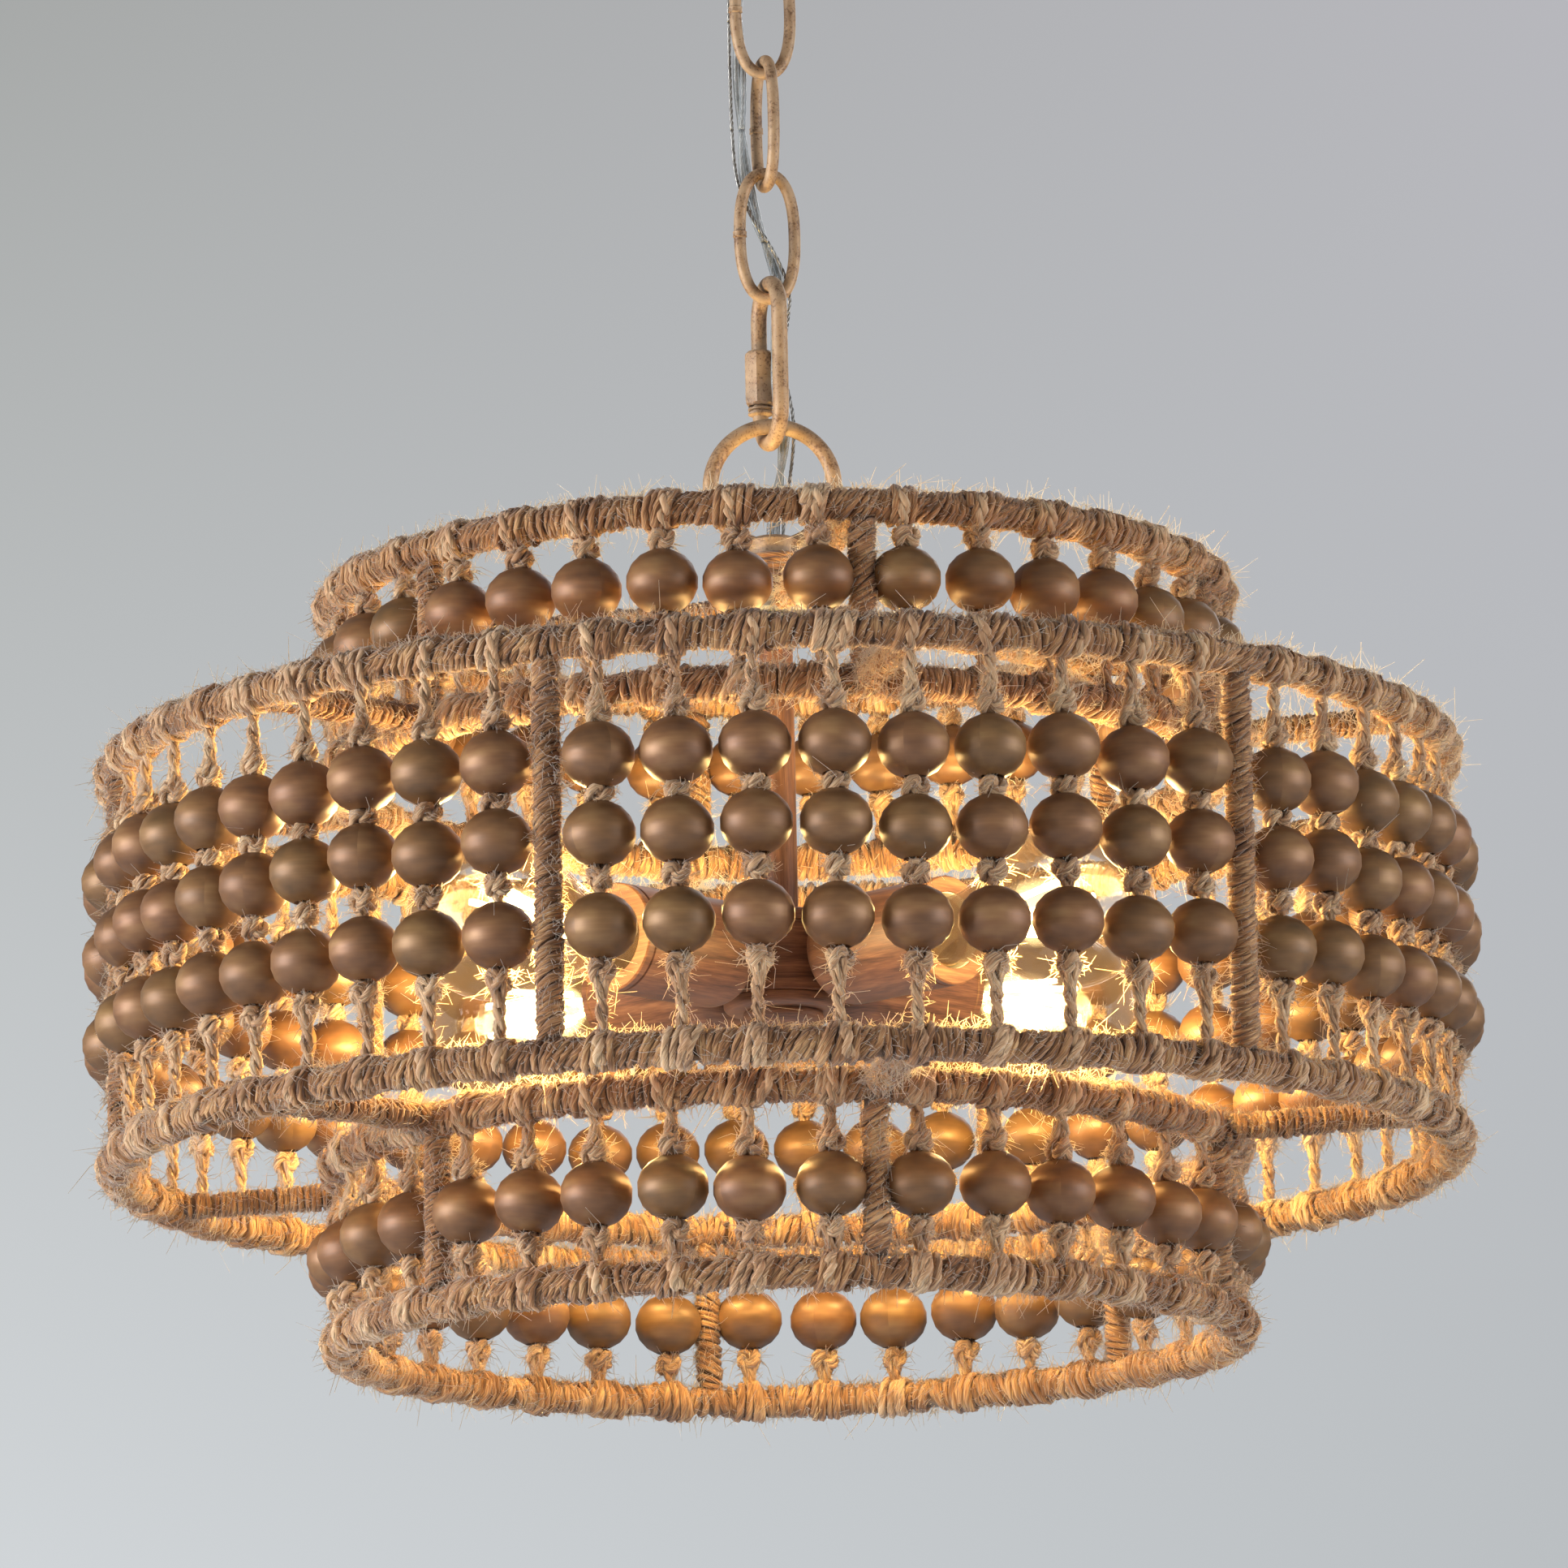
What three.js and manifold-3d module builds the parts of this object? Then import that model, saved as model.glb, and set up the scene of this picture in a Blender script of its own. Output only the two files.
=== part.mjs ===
// Beaded chandelier: a welded wire frame wound with jute, hung with wooden beads, on a short chain.
// Millimetres, +Z up. The origin is the middle of the ceiling plate's top face, and -Y is the front.
// Azimuths are degrees from the front (-Y) towards the right (+X).
import * as THREE from "three";
import { mergeVertices } from "three/addons/utils/BufferGeometryUtils.js";
import Module from "manifold-3d";

// Wire frame
const bigRingRadius = 245;
const smallRingRadius = 164;
const topTierHeight = 64;
const middleTierHeight = 144.5;
const bottomTierHeight = 66;
const smallUprightAzimuth = 11;
const bigUprightAzimuth = 41;
const spokeAzimuth = 11;
const sectorCount = 6;
const armCount = 3;
const smallFacetsPerSector = 6;
const bigFacetsPerSector = 5;

// Jute
const ringWrapDiameter = 13.2;
const rodWrapDiameter = 10.5;
const yarnDiameter = 5;
const stemWrapDiameter = 23;
const yarnEmbedShare = 0.8;

// Beads
const beadDiameter = 25;
const beadFacetShare = 1.06;
const beadBandShare = 0.42;
const beadSides = 4;
const beadGap = 3;
const shortStub = 12;
const topBeadDrop = 27;
const bottomBeadDrop = 35.5;
const middleUpperBeadDrop = 40;
const middleCentreBeadDrop = 68;
const middleLowerBeadDrop = 100;
const smallStrandAzimuths = [5.5, 15.5, 25, 35, 44.5, 54.5];
const bigStrandAzimuths = [4.4, 10.8, 17.2, 23.6, 30, 36.4, 42.8, 49.2, 55.6];
const smallSectorStart = 30;
const bigSectorStart = 26.8;

// Clearances
const gap = 0.3;
const overrun = 1;
const weldDistance = 0.0001;

// Ceiling plate and canopy
const plateLength = 104;
const plateWidth = 20;
const plateThickness = 2.5;
const canopyDiameter = 127;
const canopyDepth = 25;
const canopyWall = 1.4;
const canopyTopShare = 0.42;
const canopyShoulderShare = 0.86;
const canopyShoulderDepthShare = 0.36;
const studSpacing = 70;
const studDiameter = 4;
const studTail = 5;
const capNutDiameter = 9;
const capNutHeight = 7;

// Canopy loop
const loopWireDiameter = 5;
const loopDiameter = 32;
const loopStemDiameter = 13;
const loopStemLength = 7;
const loopNutDiameter = 20;
const loopNutHeight = 4;
const cordBore = 10;

// Chain
const linkWire = 4.5;
const linkLength = 53;
const linkWidth = 26;
const linkSquareness = 2.45;
const linkCount = 3;
const chainYaw = 18;
const brazeDiameter = 5.1;
const brazeLength = 2.4;
const quickWire = 6;
const quickLength = 67;
const quickWidth = 31;
const sleeveNutFlats = 10;
const sleeveNutLength = 21;
const sleeveNutRise = 2;
const sleeveNutTravel = 10;
const collarDiameter = 8.4;
const collarLength = 2;

// Top loop, stem, column
const topLoopWire = 5.9;
const topLoopDiameter = 52;
const stemDiameter = 18;
const stemLength = 22;
const columnDiameter = 12.7;
const threadClearance = 0.3;
const frameHubDiameter = 36;
const frameHubHeight = 8;
const columnNutFlats = 22;
const columnNutHeight = 6;

// Lamp cluster
const lampDrop = 135;
const hubDiameter = 44;
const hubHeight = 36;
const hubWall = 4;
const hubCapDiameter = 30;
const hubCapHeight = 6;
const capStemDiameter = 8;
const capStemLength = 6;
const lampCount = 4;
const lampAzimuth = 45;
const cupDiameter = 40;
const cupWall = 2;
const cupLength = 60;
const cupStart = 27;
const cupNeckDiameter = 14;
const cupNeckBore = 7;
const holderDiameter = 33;
const holderWall = 2.4;
const holderLength = 36;
const holderFloor = 6;
const holderFlange = 1;
const holderClearance = 0.9;
const bulbBaseDiameter = 26;
const bulbBaseLength = 25;
const bulbContactDiameter = 9;
const bulbDiameter = 60;
const bulbNeckDiameter = 24;
const bulbLength = 94;
const bulbGlass = 1;
const bulbWidestShare = 0.66;
const bulbShoulderShare = 0.4;

// Cord and ground wire
const cordDiameter = 5;
const groundDiameter = 1.5;
const cordSides = 8;
const groundSides = 6;
const cordSteps = 30;
const groundSteps = 44;
// Each row holds x and y as shares of a link's width, then the row's height. A whole number counts the
// heights of the pieces from the ceiling down, and its fraction is the share of the way to the next one.
const cordRouteShares = [
  [0.008, 0, 0.4],
  [0.008, 0, 0.8],
  [0.008, 0, 1.207],
  [-0.123, 0.038, 1.537],
  [-0.269, 0.115, 1.826],
  [-0.346, 0.177, 2.11],
  [-0.354, 0.192, 2.384],
  [-0.354, 0.192, 2.751],
  [-0.354, 0.192, 3.117],
  [-0.346, 0.192, 3.46],
  [-0.331, 0.192, 3.757],
  [-0.3, 0.169, 4.009],
  [-0.238, 0.115, 4.246],
  [-0.146, 0.077, 4.483],
  [-0.008, 0.138, 4.72],
  [0.115, 0.262, 4.934],
  [0.169, 0.308, 5.095],
  [0.131, 0.3, 5.259],
  [0.077, 0.277, 5.46],
  [0.092, 0.269, 5.715],
  [0.169, 0.277, 5.934],
  [0.177, 0.285, 6.139],
  [0.138, 0.269, 6.356],
  [0.085, 0.177, 6.573],
  [0.031, 0.069, 6.768],
  [0, 0, 6.963],
  [0, 0, 7.923],
  [0, 0, 8.347],
  [0, 0, 8.706],
  [0, 0, 8.907],
];
const groundTurns = [
  247, 247, 247, 247, 247, 235, 205, 190, 190, 190, 190, 195, 215, 250, 290, 318, 340, 360,
];

const wasm = await Module();
wasm.setup();

const radians = THREE.MathUtils.degToRad;

// A regular polygon's corner radius for a given width across its flats.
const cornerRadius = (flats, sides) => flats / (2 * Math.cos(Math.PI / sides));

// The point at a radius, azimuth and height.
function polar(radius, azimuth, z) {
  const a = radians(azimuth);
  return new THREE.Vector3(radius * Math.sin(a), -radius * Math.cos(a), z);
}

// A geometry as a solid that can be joined and cut.
function solid(geometry) {
  const bare = geometry.index ? geometry.toNonIndexed() : geometry.clone();
  bare.deleteAttribute("normal");
  bare.deleteAttribute("uv");
  const merged = mergeVertices(bare, weldDistance);
  const corners = merged.index.array;
  const kept = [];
  for (let i = 0; i < corners.length; i += 3) {
    const [a, b, c] = [corners[i], corners[i + 1], corners[i + 2]];
    if (a !== b && b !== c && c !== a) kept.push(a, b, c);
  }
  return new wasm.Manifold(
    new wasm.Mesh({
      numProp: 3,
      vertProperties: merged.attributes.position.array,
      triVerts: new Uint32Array(kept),
    }),
  );
}

// A solid as a geometry again.
function geometryOf(body) {
  const mesh = body.getMesh();
  const geometry = new THREE.BufferGeometry();
  geometry.setAttribute("position", new THREE.BufferAttribute(mesh.vertProperties, 3));
  geometry.setIndex(new THREE.BufferAttribute(mesh.triVerts, 1));
  const flat = geometry.toNonIndexed();
  flat.computeVertexNormals();
  return flat;
}

// A solid of revolution about Z from [radius, height] pairs that climb on the outside.
function turned(profile, sides, azimuth = 0) {
  const points = profile.map(([r, z]) => new THREE.Vector2(r, z));
  const lathe = new THREE.LatheGeometry(points, sides, radians(azimuth), 2 * Math.PI);
  return lathe.rotateX(Math.PI / 2);
}

// A plain rod or prism along Z.
function rod(radius, low, high, sides, azimuth = 0) {
  return turned([[0, low], [radius, low], [radius, high], [0, high]], sides, azimuth);
}

// A rod between two points, with a flat of its section facing up when it lies level.
function rodBetween(from, to, radius, sides) {
  const along = to.clone().sub(from);
  const bar = rod(radius, 0, along.length(), sides, 180 / sides);
  const up = new THREE.Vector3(0, 0, 1);
  const turn = new THREE.Quaternion().setFromUnitVectors(up, along.normalize());
  return bar.applyQuaternion(turn).translate(from.x, from.y, from.z);
}

// A closed ring about Z of six-sided section, with a flat at its top and foot.
function hoop(radius, height, sectionRadius, facets, azimuth) {
  const rim = (radius * (1 + 1 / Math.cos(Math.PI / facets))) / 2;
  const profile = [];
  for (let i = 0; i <= 6; i += 1) {
    const a = (Math.PI * (i % 6)) / 3;
    profile.push([rim + sectionRadius * Math.cos(a), height + sectionRadius * Math.sin(a)]);
  }
  return turned(profile, facets, azimuth);
}

// A solid from a stack of polygons, each [radius, height, turn], the turn in half sides, from the foot up.
function stacked(rings, sides) {
  const positions = [];
  const corner = (j, i) => {
    const [radius, z, turn] = rings[j];
    const a = (2 * Math.PI * (i + turn / 2)) / sides;
    return [radius * Math.sin(a), -radius * Math.cos(a), z];
  };
  for (let j = 0; j + 1 < rings.length; j += 1) {
    for (let i = 0; i < sides; i += 1) {
      const [a, b] = [corner(j, i), corner(j, i + 1)];
      const [c, d] = [corner(j + 1, i), corner(j + 1, i + 1)];
      positions.push(...a, ...b, ...c, ...b, ...d, ...c);
    }
  }
  const last = rings.length - 1;
  for (let i = 1; i + 1 < sides; i += 1) {
    positions.push(...corner(0, 0), ...corner(0, i + 1), ...corner(0, i));
    positions.push(...corner(last, 0), ...corner(last, i), ...corner(last, i + 1));
  }
  const geometry = new THREE.BufferGeometry();
  return geometry.setAttribute("position", new THREE.Float32BufferAttribute(positions, 3));
}

// A closed loop of round wire in the XZ plane, from the loop's centreline points in order.
function wireLoop(points, wireRadius, sides) {
  const positions = [];
  const count = points.length;
  const across = new THREE.Vector3(0, 1, 0);
  const corner = (i, k) => {
    const before = points[(i + count - 1) % count];
    const after = points[(i + 1) % count];
    const along = after.clone().sub(before).normalize();
    const out = new THREE.Vector3().crossVectors(along, across);
    const a = (2 * Math.PI * (k % sides)) / sides;
    const rise = out.multiplyScalar(wireRadius * Math.cos(a));
    return points[i % count].clone().add(rise).addScaledVector(across, wireRadius * Math.sin(a));
  };
  for (let i = 0; i < count; i += 1) {
    for (let k = 0; k < sides; k += 1) {
      const [a, b] = [corner(i, k), corner(i + 1, k)];
      const [c, d] = [corner(i, k + 1), corner(i + 1, k + 1)];
      for (const p of [a, b, d, a, d, c]) {
        positions.push(p.x, p.y, p.z);
      }
    }
  }
  const geometry = new THREE.BufferGeometry();
  return geometry.setAttribute("position", new THREE.Float32BufferAttribute(positions, 3));
}

// A tube along a smooth curve through a list of points.
function tube(points, diameter, sides, steps) {
  const section = new THREE.Shape();
  for (let i = 0; i < sides; i += 1) {
    const a = (2 * Math.PI * i) / sides;
    const [x, y] = [(diameter / 2) * Math.cos(a), (diameter / 2) * Math.sin(a)];
    if (i === 0) section.moveTo(x, y);
    else section.lineTo(x, y);
  }
  const path = new THREE.CatmullRomCurve3(points, false, "centripetal");
  return new THREE.ExtrudeGeometry(section, { steps, bevelEnabled: false, extrudePath: path });
}

const paint = { color: 0xa98e6b, roughness: 0.55, metalness: 0.35 };
const steel = { color: 0x8c8a86, roughness: 0.4, metalness: 0.9 };
const jute = { color: 0xa58a68, roughness: 0.95, metalness: 0 };
const darkWood = { color: 0x5d3f2b, roughness: 0.5, metalness: 0 };
const porcelain = { color: 0xe9e4d8, roughness: 0.3, metalness: 0 };
const brass = { color: 0xc9a860, roughness: 0.3, metalness: 1 };
const clearGlass = { color: 0xfff2d8, roughness: 0.05, metalness: 0, transparent: true, opacity: 0.4 };
const clearJacket = { color: 0xc8c9c4, roughness: 0.25, metalness: 0.2 };

const chandelier = new THREE.Group();
chandelier.name = "beaded_chandelier";

// Adds a named piece to a group.
function piece(name, geometry, finish, parent = chandelier) {
  const mesh = new THREE.Mesh(geometry, new THREE.MeshStandardMaterial(finish));
  mesh.name = name;
  parent.add(mesh);
  return mesh;
}

// Heights, worked out from the ceiling down

const wireSeat = (upper, lower) => upper / 2 + lower / 2 + gap;
const canopyFoot = -canopyDepth;
const loopCentre = canopyFoot - loopStemLength - loopDiameter / 2 + loopWireDiameter;
const loopWireFoot = loopCentre - loopDiameter / 2 + loopWireDiameter / 2;
const linkTops = [];
for (let i = 0; i < linkCount; i += 1) {
  const carrier = i === 0 ? loopWireFoot : linkTops[i - 1] - linkLength + linkWire / 2;
  const carrierWire = i === 0 ? loopWireDiameter : linkWire;
  linkTops.push(carrier + wireSeat(carrierWire, linkWire) + linkWire / 2);
}
const lastLinkFoot = linkTops[linkCount - 1] - linkLength + linkWire / 2;
const quickTop = lastLinkFoot + wireSeat(linkWire, quickWire) + quickWire / 2;
const quickFoot = quickTop - quickLength + quickWire / 2;
const topLoopTop = quickFoot + wireSeat(quickWire, topLoopWire) + topLoopWire / 2;
const topLoopCentre = topLoopTop - topLoopDiameter / 2;
const topLoopInnerFoot = topLoopCentre - topLoopDiameter / 2 + topLoopWire;
const stemTop = topLoopInnerFoot;
const stemFoot = stemTop - stemLength;
const ringA = stemFoot - gap - frameHubHeight / 2;
const ringB = ringA - topTierHeight;
const ringD = ringB - middleTierHeight;
const ringF = ringD - bottomTierHeight;
const lampHeight = ringA - lampDrop;

// Ceiling plate, canopy and its two studs

function ceilingPlate() {
  const plate = new THREE.BoxGeometry(plateLength, plateWidth, plateThickness);
  let cut = solid(plate.translate(0, 0, -plateThickness / 2));
  for (const side of [-1, 1]) {
    const hole = rod(studDiameter / 2 + gap, -plateThickness - overrun, overrun, 10);
    cut = cut.subtract(solid(hole.translate((side * studSpacing) / 2, 0, 0)));
  }
  return geometryOf(cut);
}
piece("crossbar", ceilingPlate(), steel);

function canopyShell() {
  const outer = canopyDiameter / 2;
  const shape = (inset) => [
    [outer - inset, -canopyDepth * canopyShoulderDepthShare],
    [outer * canopyShoulderShare - inset, -canopyDepth * (1 - canopyShoulderDepthShare / 2) + inset],
    [outer * canopyTopShare - inset, -canopyDepth + inset],
  ];
  const out = shape(0);
  const inner = shape(canopyWall);
  const bore = loopStemDiameter / 2 + gap;
  const profile = [
    [bore, -canopyDepth],
    ...out.toReversed(),
    [outer, 0],
    [outer - canopyWall, 0],
    ...inner,
    [bore, -canopyDepth + canopyWall],
    [bore, -canopyDepth],
  ];
  let shell = solid(turned(profile, 24));
  for (const side of [-1, 1]) {
    const hole = rod(studDiameter / 2 + gap, -canopyDepth - overrun, -overrun, 10);
    shell = shell.subtract(solid(hole.translate((side * studSpacing) / 2, 0, 0)));
  }
  return geometryOf(shell);
}
piece("canopy", canopyShell(), paint);

// Height of the canopy's outer face at the studs, on the slope between its shoulder and its top.
function canopyFaceAt(radius) {
  const outer = canopyDiameter / 2;
  const [r0, z0] = [outer * canopyTopShare, -canopyDepth];
  const [r1, z1] = [outer * canopyShoulderShare, -canopyDepth * (1 - canopyShoulderDepthShare / 2)];
  return z0 + ((z1 - z0) * (radius - r0)) / (r1 - r0);
}
const nutSeat = canopyFaceAt(studSpacing / 2 - capNutDiameter / 2) - gap;
for (const side of [-1, 1]) {
  const name = side < 0 ? "left" : "right";
  const low = nutSeat - studTail;
  const stud = rod(studDiameter / 2, low, -gap, 8);
  piece("canopy_stud_" + name, stud.translate((side * studSpacing) / 2, 0, 0), steel);
  const bore = studDiameter / 2 + gap;
  const dome = capNutDiameter / 2;
  const deep = low - gap;
  const nut = turned(
    [
      [0, nutSeat - capNutHeight],
      [dome / 2, nutSeat - capNutHeight],
      [dome, nutSeat - capNutHeight / 2],
      [dome, nutSeat],
      [bore, nutSeat],
      [bore, deep],
      [0, deep],
    ],
    10,
  );
  piece("cap_nut_" + name, nut.translate((side * studSpacing) / 2, 0, 0), paint);
}

// Canopy loop: a cast ring on a hollow stem, held inside the canopy by a round nut

const ringPoints = (radius, z, count) =>
  Array.from({ length: count }, (_, i) => {
    const a = (2 * Math.PI * i) / count;
    return new THREE.Vector3(radius * Math.sin(a), 0, z + radius * Math.cos(a));
  });

function eyeOnStem(eyeDiameter, wire, centre, stemWide, stemHigh, stemLow, bores, steps) {
  const eye = wireLoop(ringPoints(eyeDiameter / 2 - wire / 2, centre, steps), wire / 2, 6);
  let body = solid(eye).add(solid(rod(stemWide / 2, stemLow, stemHigh, 12)));
  for (const [wide, low, high] of bores) {
    body = body.subtract(solid(rod(wide / 2, low, high, 12)));
  }
  return geometryOf(body);
}
const loopNutTop = canopyFoot + canopyWall + gap + loopNutHeight;
const loopStemTop = loopNutTop + studTail / 2;
const canopyEye = eyeOnStem(
  loopDiameter,
  loopWireDiameter,
  loopCentre,
  loopStemDiameter,
  loopStemTop,
  loopCentre + loopDiameter / 2 - loopWireDiameter,
  [[cordBore, loopCentre, loopStemTop + overrun]],
  18,
);
canopyEye.rotateZ(radians(90 + chainYaw));
piece("canopy_loop", canopyEye, paint);

const nutBore = loopStemDiameter / 2 + gap;
const loopNut = turned(
  [
    [nutBore, loopNutTop - loopNutHeight],
    [loopNutDiameter / 2, loopNutTop - loopNutHeight],
    [loopNutDiameter / 2, loopNutTop],
    [nutBore, loopNutTop],
    [nutBore, loopNutTop - loopNutHeight],
  ],
  12,
);
piece("canopy_loop_nut", loopNut, steel);

// Chain: oval links, turned a quarter from one to the next, each with a brazed joint on one side

function ovalPoints(halfWide, halfLong, squareness, centre, count) {
  const bend = (value) => Math.sign(value) * Math.abs(value) ** (2 / squareness);
  return Array.from({ length: count }, (_, i) => {
    const a = (2 * Math.PI * i) / count;
    return new THREE.Vector3(halfWide * bend(Math.sin(a)), 0, centre + halfLong * bend(Math.cos(a)));
  });
}
for (let i = 0; i < linkCount; i += 1) {
  const centre = linkTops[i] - linkLength / 2;
  const halfWide = linkWidth / 2 - linkWire / 2;
  const halfLong = linkLength / 2 - linkWire / 2;
  const oval = wireLoop(ovalPoints(halfWide, halfLong, linkSquareness, centre, 20), linkWire / 2, 6);
  const braze = rod(brazeDiameter / 2, centre - brazeLength / 2, centre + brazeLength / 2, 6);
  const body = solid(oval).add(solid(braze.translate(-halfWide, 0, 0)));
  const link = geometryOf(body).rotateZ(radians(chainYaw + (i % 2 === 0 ? 0 : -90)));
  piece("link_" + (i + 1), link, paint);
}

// Quick link: a long oval of thick wire, parted on its far side by the sleeve nut's thread

function stadiumPoints(halfWide, halfLong, centre, arcSteps) {
  const points = [];
  for (const side of [1, -1]) {
    for (let i = 0; i <= arcSteps; i += 1) {
      const a = (Math.PI * i) / arcSteps;
      const x = side * halfWide * Math.cos(a);
      points.push(new THREE.Vector3(x, 0, centre + side * (halfLong - halfWide + halfWide * Math.sin(a))));
    }
  }
  return points.toReversed();
}
const quickCentre = quickTop - quickLength / 2;
const quickHalf = quickWidth / 2 - quickWire / 2;
const quickYaw = chainYaw + (linkCount % 2 === 0 ? 0 : -90);
const nutLow = quickCentre - sleeveNutLength / 2 + sleeveNutRise - sleeveNutTravel / 2;

function quickLink() {
  const points = stadiumPoints(quickHalf, quickLength / 2 - quickWire / 2, quickCentre, 6);
  const oval = solid(wireLoop(points, quickWire / 2, 8));
  const collar = rod(collarDiameter / 2, nutLow - gap - collarLength, nutLow - gap, 10);
  return geometryOf(oval.add(solid(collar.translate(-quickHalf, 0, 0)))).rotateZ(radians(quickYaw));
}
piece("quick_link", quickLink(), paint);

function sleeveNut() {
  const outer = solid(rod(cornerRadius(sleeveNutFlats, 6), nutLow, nutLow + sleeveNutLength, 6, 30));
  const bore = rod(quickWire / 2 + gap, nutLow - overrun, nutLow + sleeveNutLength + overrun, 8, 0);
  const body = outer.subtract(solid(bore));
  return geometryOf(body).translate(-quickHalf, 0, 0).rotateZ(radians(quickYaw));
}
piece("quick_link_nut", sleeveNut(), paint);

// Top loop, its jute-wound stem, the frame's hub and the column

const columnTop = stemTop - stemLength / 3;
const threadBore = columnDiameter + 2 * threadClearance;
const fixtureEye = eyeOnStem(
  topLoopDiameter,
  topLoopWire,
  topLoopCentre,
  stemDiameter,
  stemTop,
  stemFoot,
  [
    [cordBore, stemFoot - overrun, stemTop + overrun],
    [threadBore, stemFoot - overrun, columnTop + threadClearance],
  ],
  24,
);
piece("top_loop", fixtureEye, paint);

const eyeFoot = topLoopCentre - topLoopDiameter / 2;
const stemWrap = turned(
  [
    [stemDiameter / 2 + gap, stemFoot + gap],
    [stemWrapDiameter / 2 - gap, stemFoot + gap],
    [stemWrapDiameter / 2, (stemFoot + eyeFoot) / 2],
    [stemWrapDiameter / 2 - gap, eyeFoot - gap],
    [stemDiameter / 2 + gap, eyeFoot - gap],
    [stemDiameter / 2 + gap, stemFoot + gap],
  ],
  14,
);
piece("stem_wrap", stemWrap, jute);

const collarRing = (bore, outer, low, high, sides) =>
  turned([[bore, low], [outer, low], [outer, high], [bore, high], [bore, low]], sides);
const [frameHubFoot, frameHubTop] = [ringA - frameHubHeight / 2, ringA + frameHubHeight / 2];
piece("frame_hub", collarRing(threadBore / 2, frameHubDiameter / 2, frameHubFoot, frameHubTop, 16), steel);

const columnNutTop = frameHubFoot - gap;
function columnNut() {
  const low = columnNutTop - columnNutHeight;
  const body = solid(rod(cornerRadius(columnNutFlats, 6), low, columnNutTop, 6));
  return geometryOf(body.subtract(solid(rod(threadBore / 2, low - overrun, columnNutTop + overrun, 12))));
}
piece("column_nut", columnNut(), steel);

const hubTop = lampHeight + hubHeight / 2;
const columnFoot = hubTop - hubWall;
piece("column_tube", collarRing(cordBore / 2, columnDiameter / 2, columnFoot, columnTop, 12), darkWood);

// The frame's three tiers: a wound ring at the head and foot of each, with wound uprights between

const tiers = [
  { name: "top", radius: smallRingRadius, high: ringA, low: ringB, upright: smallUprightAzimuth },
  { name: "middle", radius: bigRingRadius, high: ringB, low: ringD, upright: bigUprightAzimuth },
  { name: "bottom", radius: smallRingRadius, high: ringD, low: ringF, upright: smallUprightAzimuth },
];
for (const tier of tiers) {
  const big = tier.name === "middle";
  tier.facets = sectorCount * (big ? bigFacetsPerSector : smallFacetsPerSector);
  tier.start = tier.upright + (big ? bigSectorStart : smallSectorStart);
  tier.strands = big ? bigStrandAzimuths : smallStrandAzimuths;
}
const sectorAngle = 360 / sectorCount;

// Bead curtains: each sector's jute windings with the strands and beads knotted between its rings

const beadReach = (beadDiameter / 2) * beadFacetShare;
const ballHeight = beadReach * beadBandShare;
const ballRadius = Math.sqrt(beadReach ** 2 - ballHeight ** 2);
const waist = yarnDiameter / 2;

// A strand of yarn and beads between two rings, hung with its beads at the given drops.
function strand(high, low, drops) {
  const embed = (ringWrapDiameter / 2) * Math.cos(Math.PI / 6) * yarnEmbedShare;
  const rings = [[waist, low + embed, 0]];
  let turn = 0;
  let below = low + ringWrapDiameter / 2;
  for (const drop of drops.toReversed()) {
    const z = high - drop;
    if (z - beadDiameter / 2 - below > shortStub) rings.push([waist, z - beadDiameter / 2, turn]);
    rings.push([ballRadius, z - ballHeight, turn + 1], [ballRadius, z + ballHeight, turn + 2]);
    turn += 3;
    below = z + beadDiameter / 2 + beadGap / 2;
    const room = high - ringWrapDiameter / 2 - below;
    if (room > shortStub || drop !== drops[0]) rings.push([waist, below, turn]);
  }
  rings.push([waist, high - embed, turn]);
  return stacked(rings, beadSides);
}

const middleBeadDrops = [middleUpperBeadDrop, middleCentreBeadDrop, middleLowerBeadDrop];
const drops = { top: [topBeadDrop], middle: middleBeadDrops, bottom: [bottomBeadDrop] };

// A wound bar that runs level along one azimuth from a radius out to a ring.
function levelBar(start, radius, azimuth, z) {
  return solid(rodBetween(polar(start, azimuth, z), polar(radius, azimuth, z), rodWrapDiameter / 2, 6));
}

// All of one tier's windings, strands and beads as one body.
function tierJute(tier) {
  const bodies = [];
  const wrap = ringWrapDiameter / 2;
  for (const z of [tier.high, tier.low]) {
    bodies.push(solid(hoop(tier.radius, z, wrap, tier.facets, tier.start)));
  }
  for (let i = 0; i < sectorCount; i += 1) {
    const azimuth = tier.upright + i * sectorAngle;
    const foot = polar(tier.radius, azimuth, tier.low);
    const upright = rod(rodWrapDiameter / 2, tier.low, tier.high, 6, azimuth);
    bodies.push(solid(upright.translate(foot.x, foot.y, 0)));
    for (const offset of tier.strands) {
      const place = polar(tier.radius, azimuth + offset, 0);
      const line = strand(tier.high, tier.low, drops[tier.name]);
      line.rotateZ(radians(azimuth + offset));
      bodies.push(solid(line.translate(place.x, place.y, 0)));
    }
  }
  if (tier.name === "middle") {
    for (let i = 0; i < sectorCount; i += 1) {
      const azimuth = spokeAzimuth + i * sectorAngle;
      const start = smallRingRadius + wrap + 2 * gap;
      for (const z of [tier.high, tier.low]) {
        bodies.push(levelBar(start, tier.radius, azimuth, z));
      }
    }
  }
  if (tier.name === "top") {
    for (let i = 0; i < armCount; i += 1) {
      const azimuth = tier.upright + (i * 360) / armCount;
      bodies.push(levelBar(frameHubDiameter / 2 + gap, tier.radius, azimuth, tier.high));
    }
  }
  return wasm.Manifold.union(bodies);
}

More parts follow.
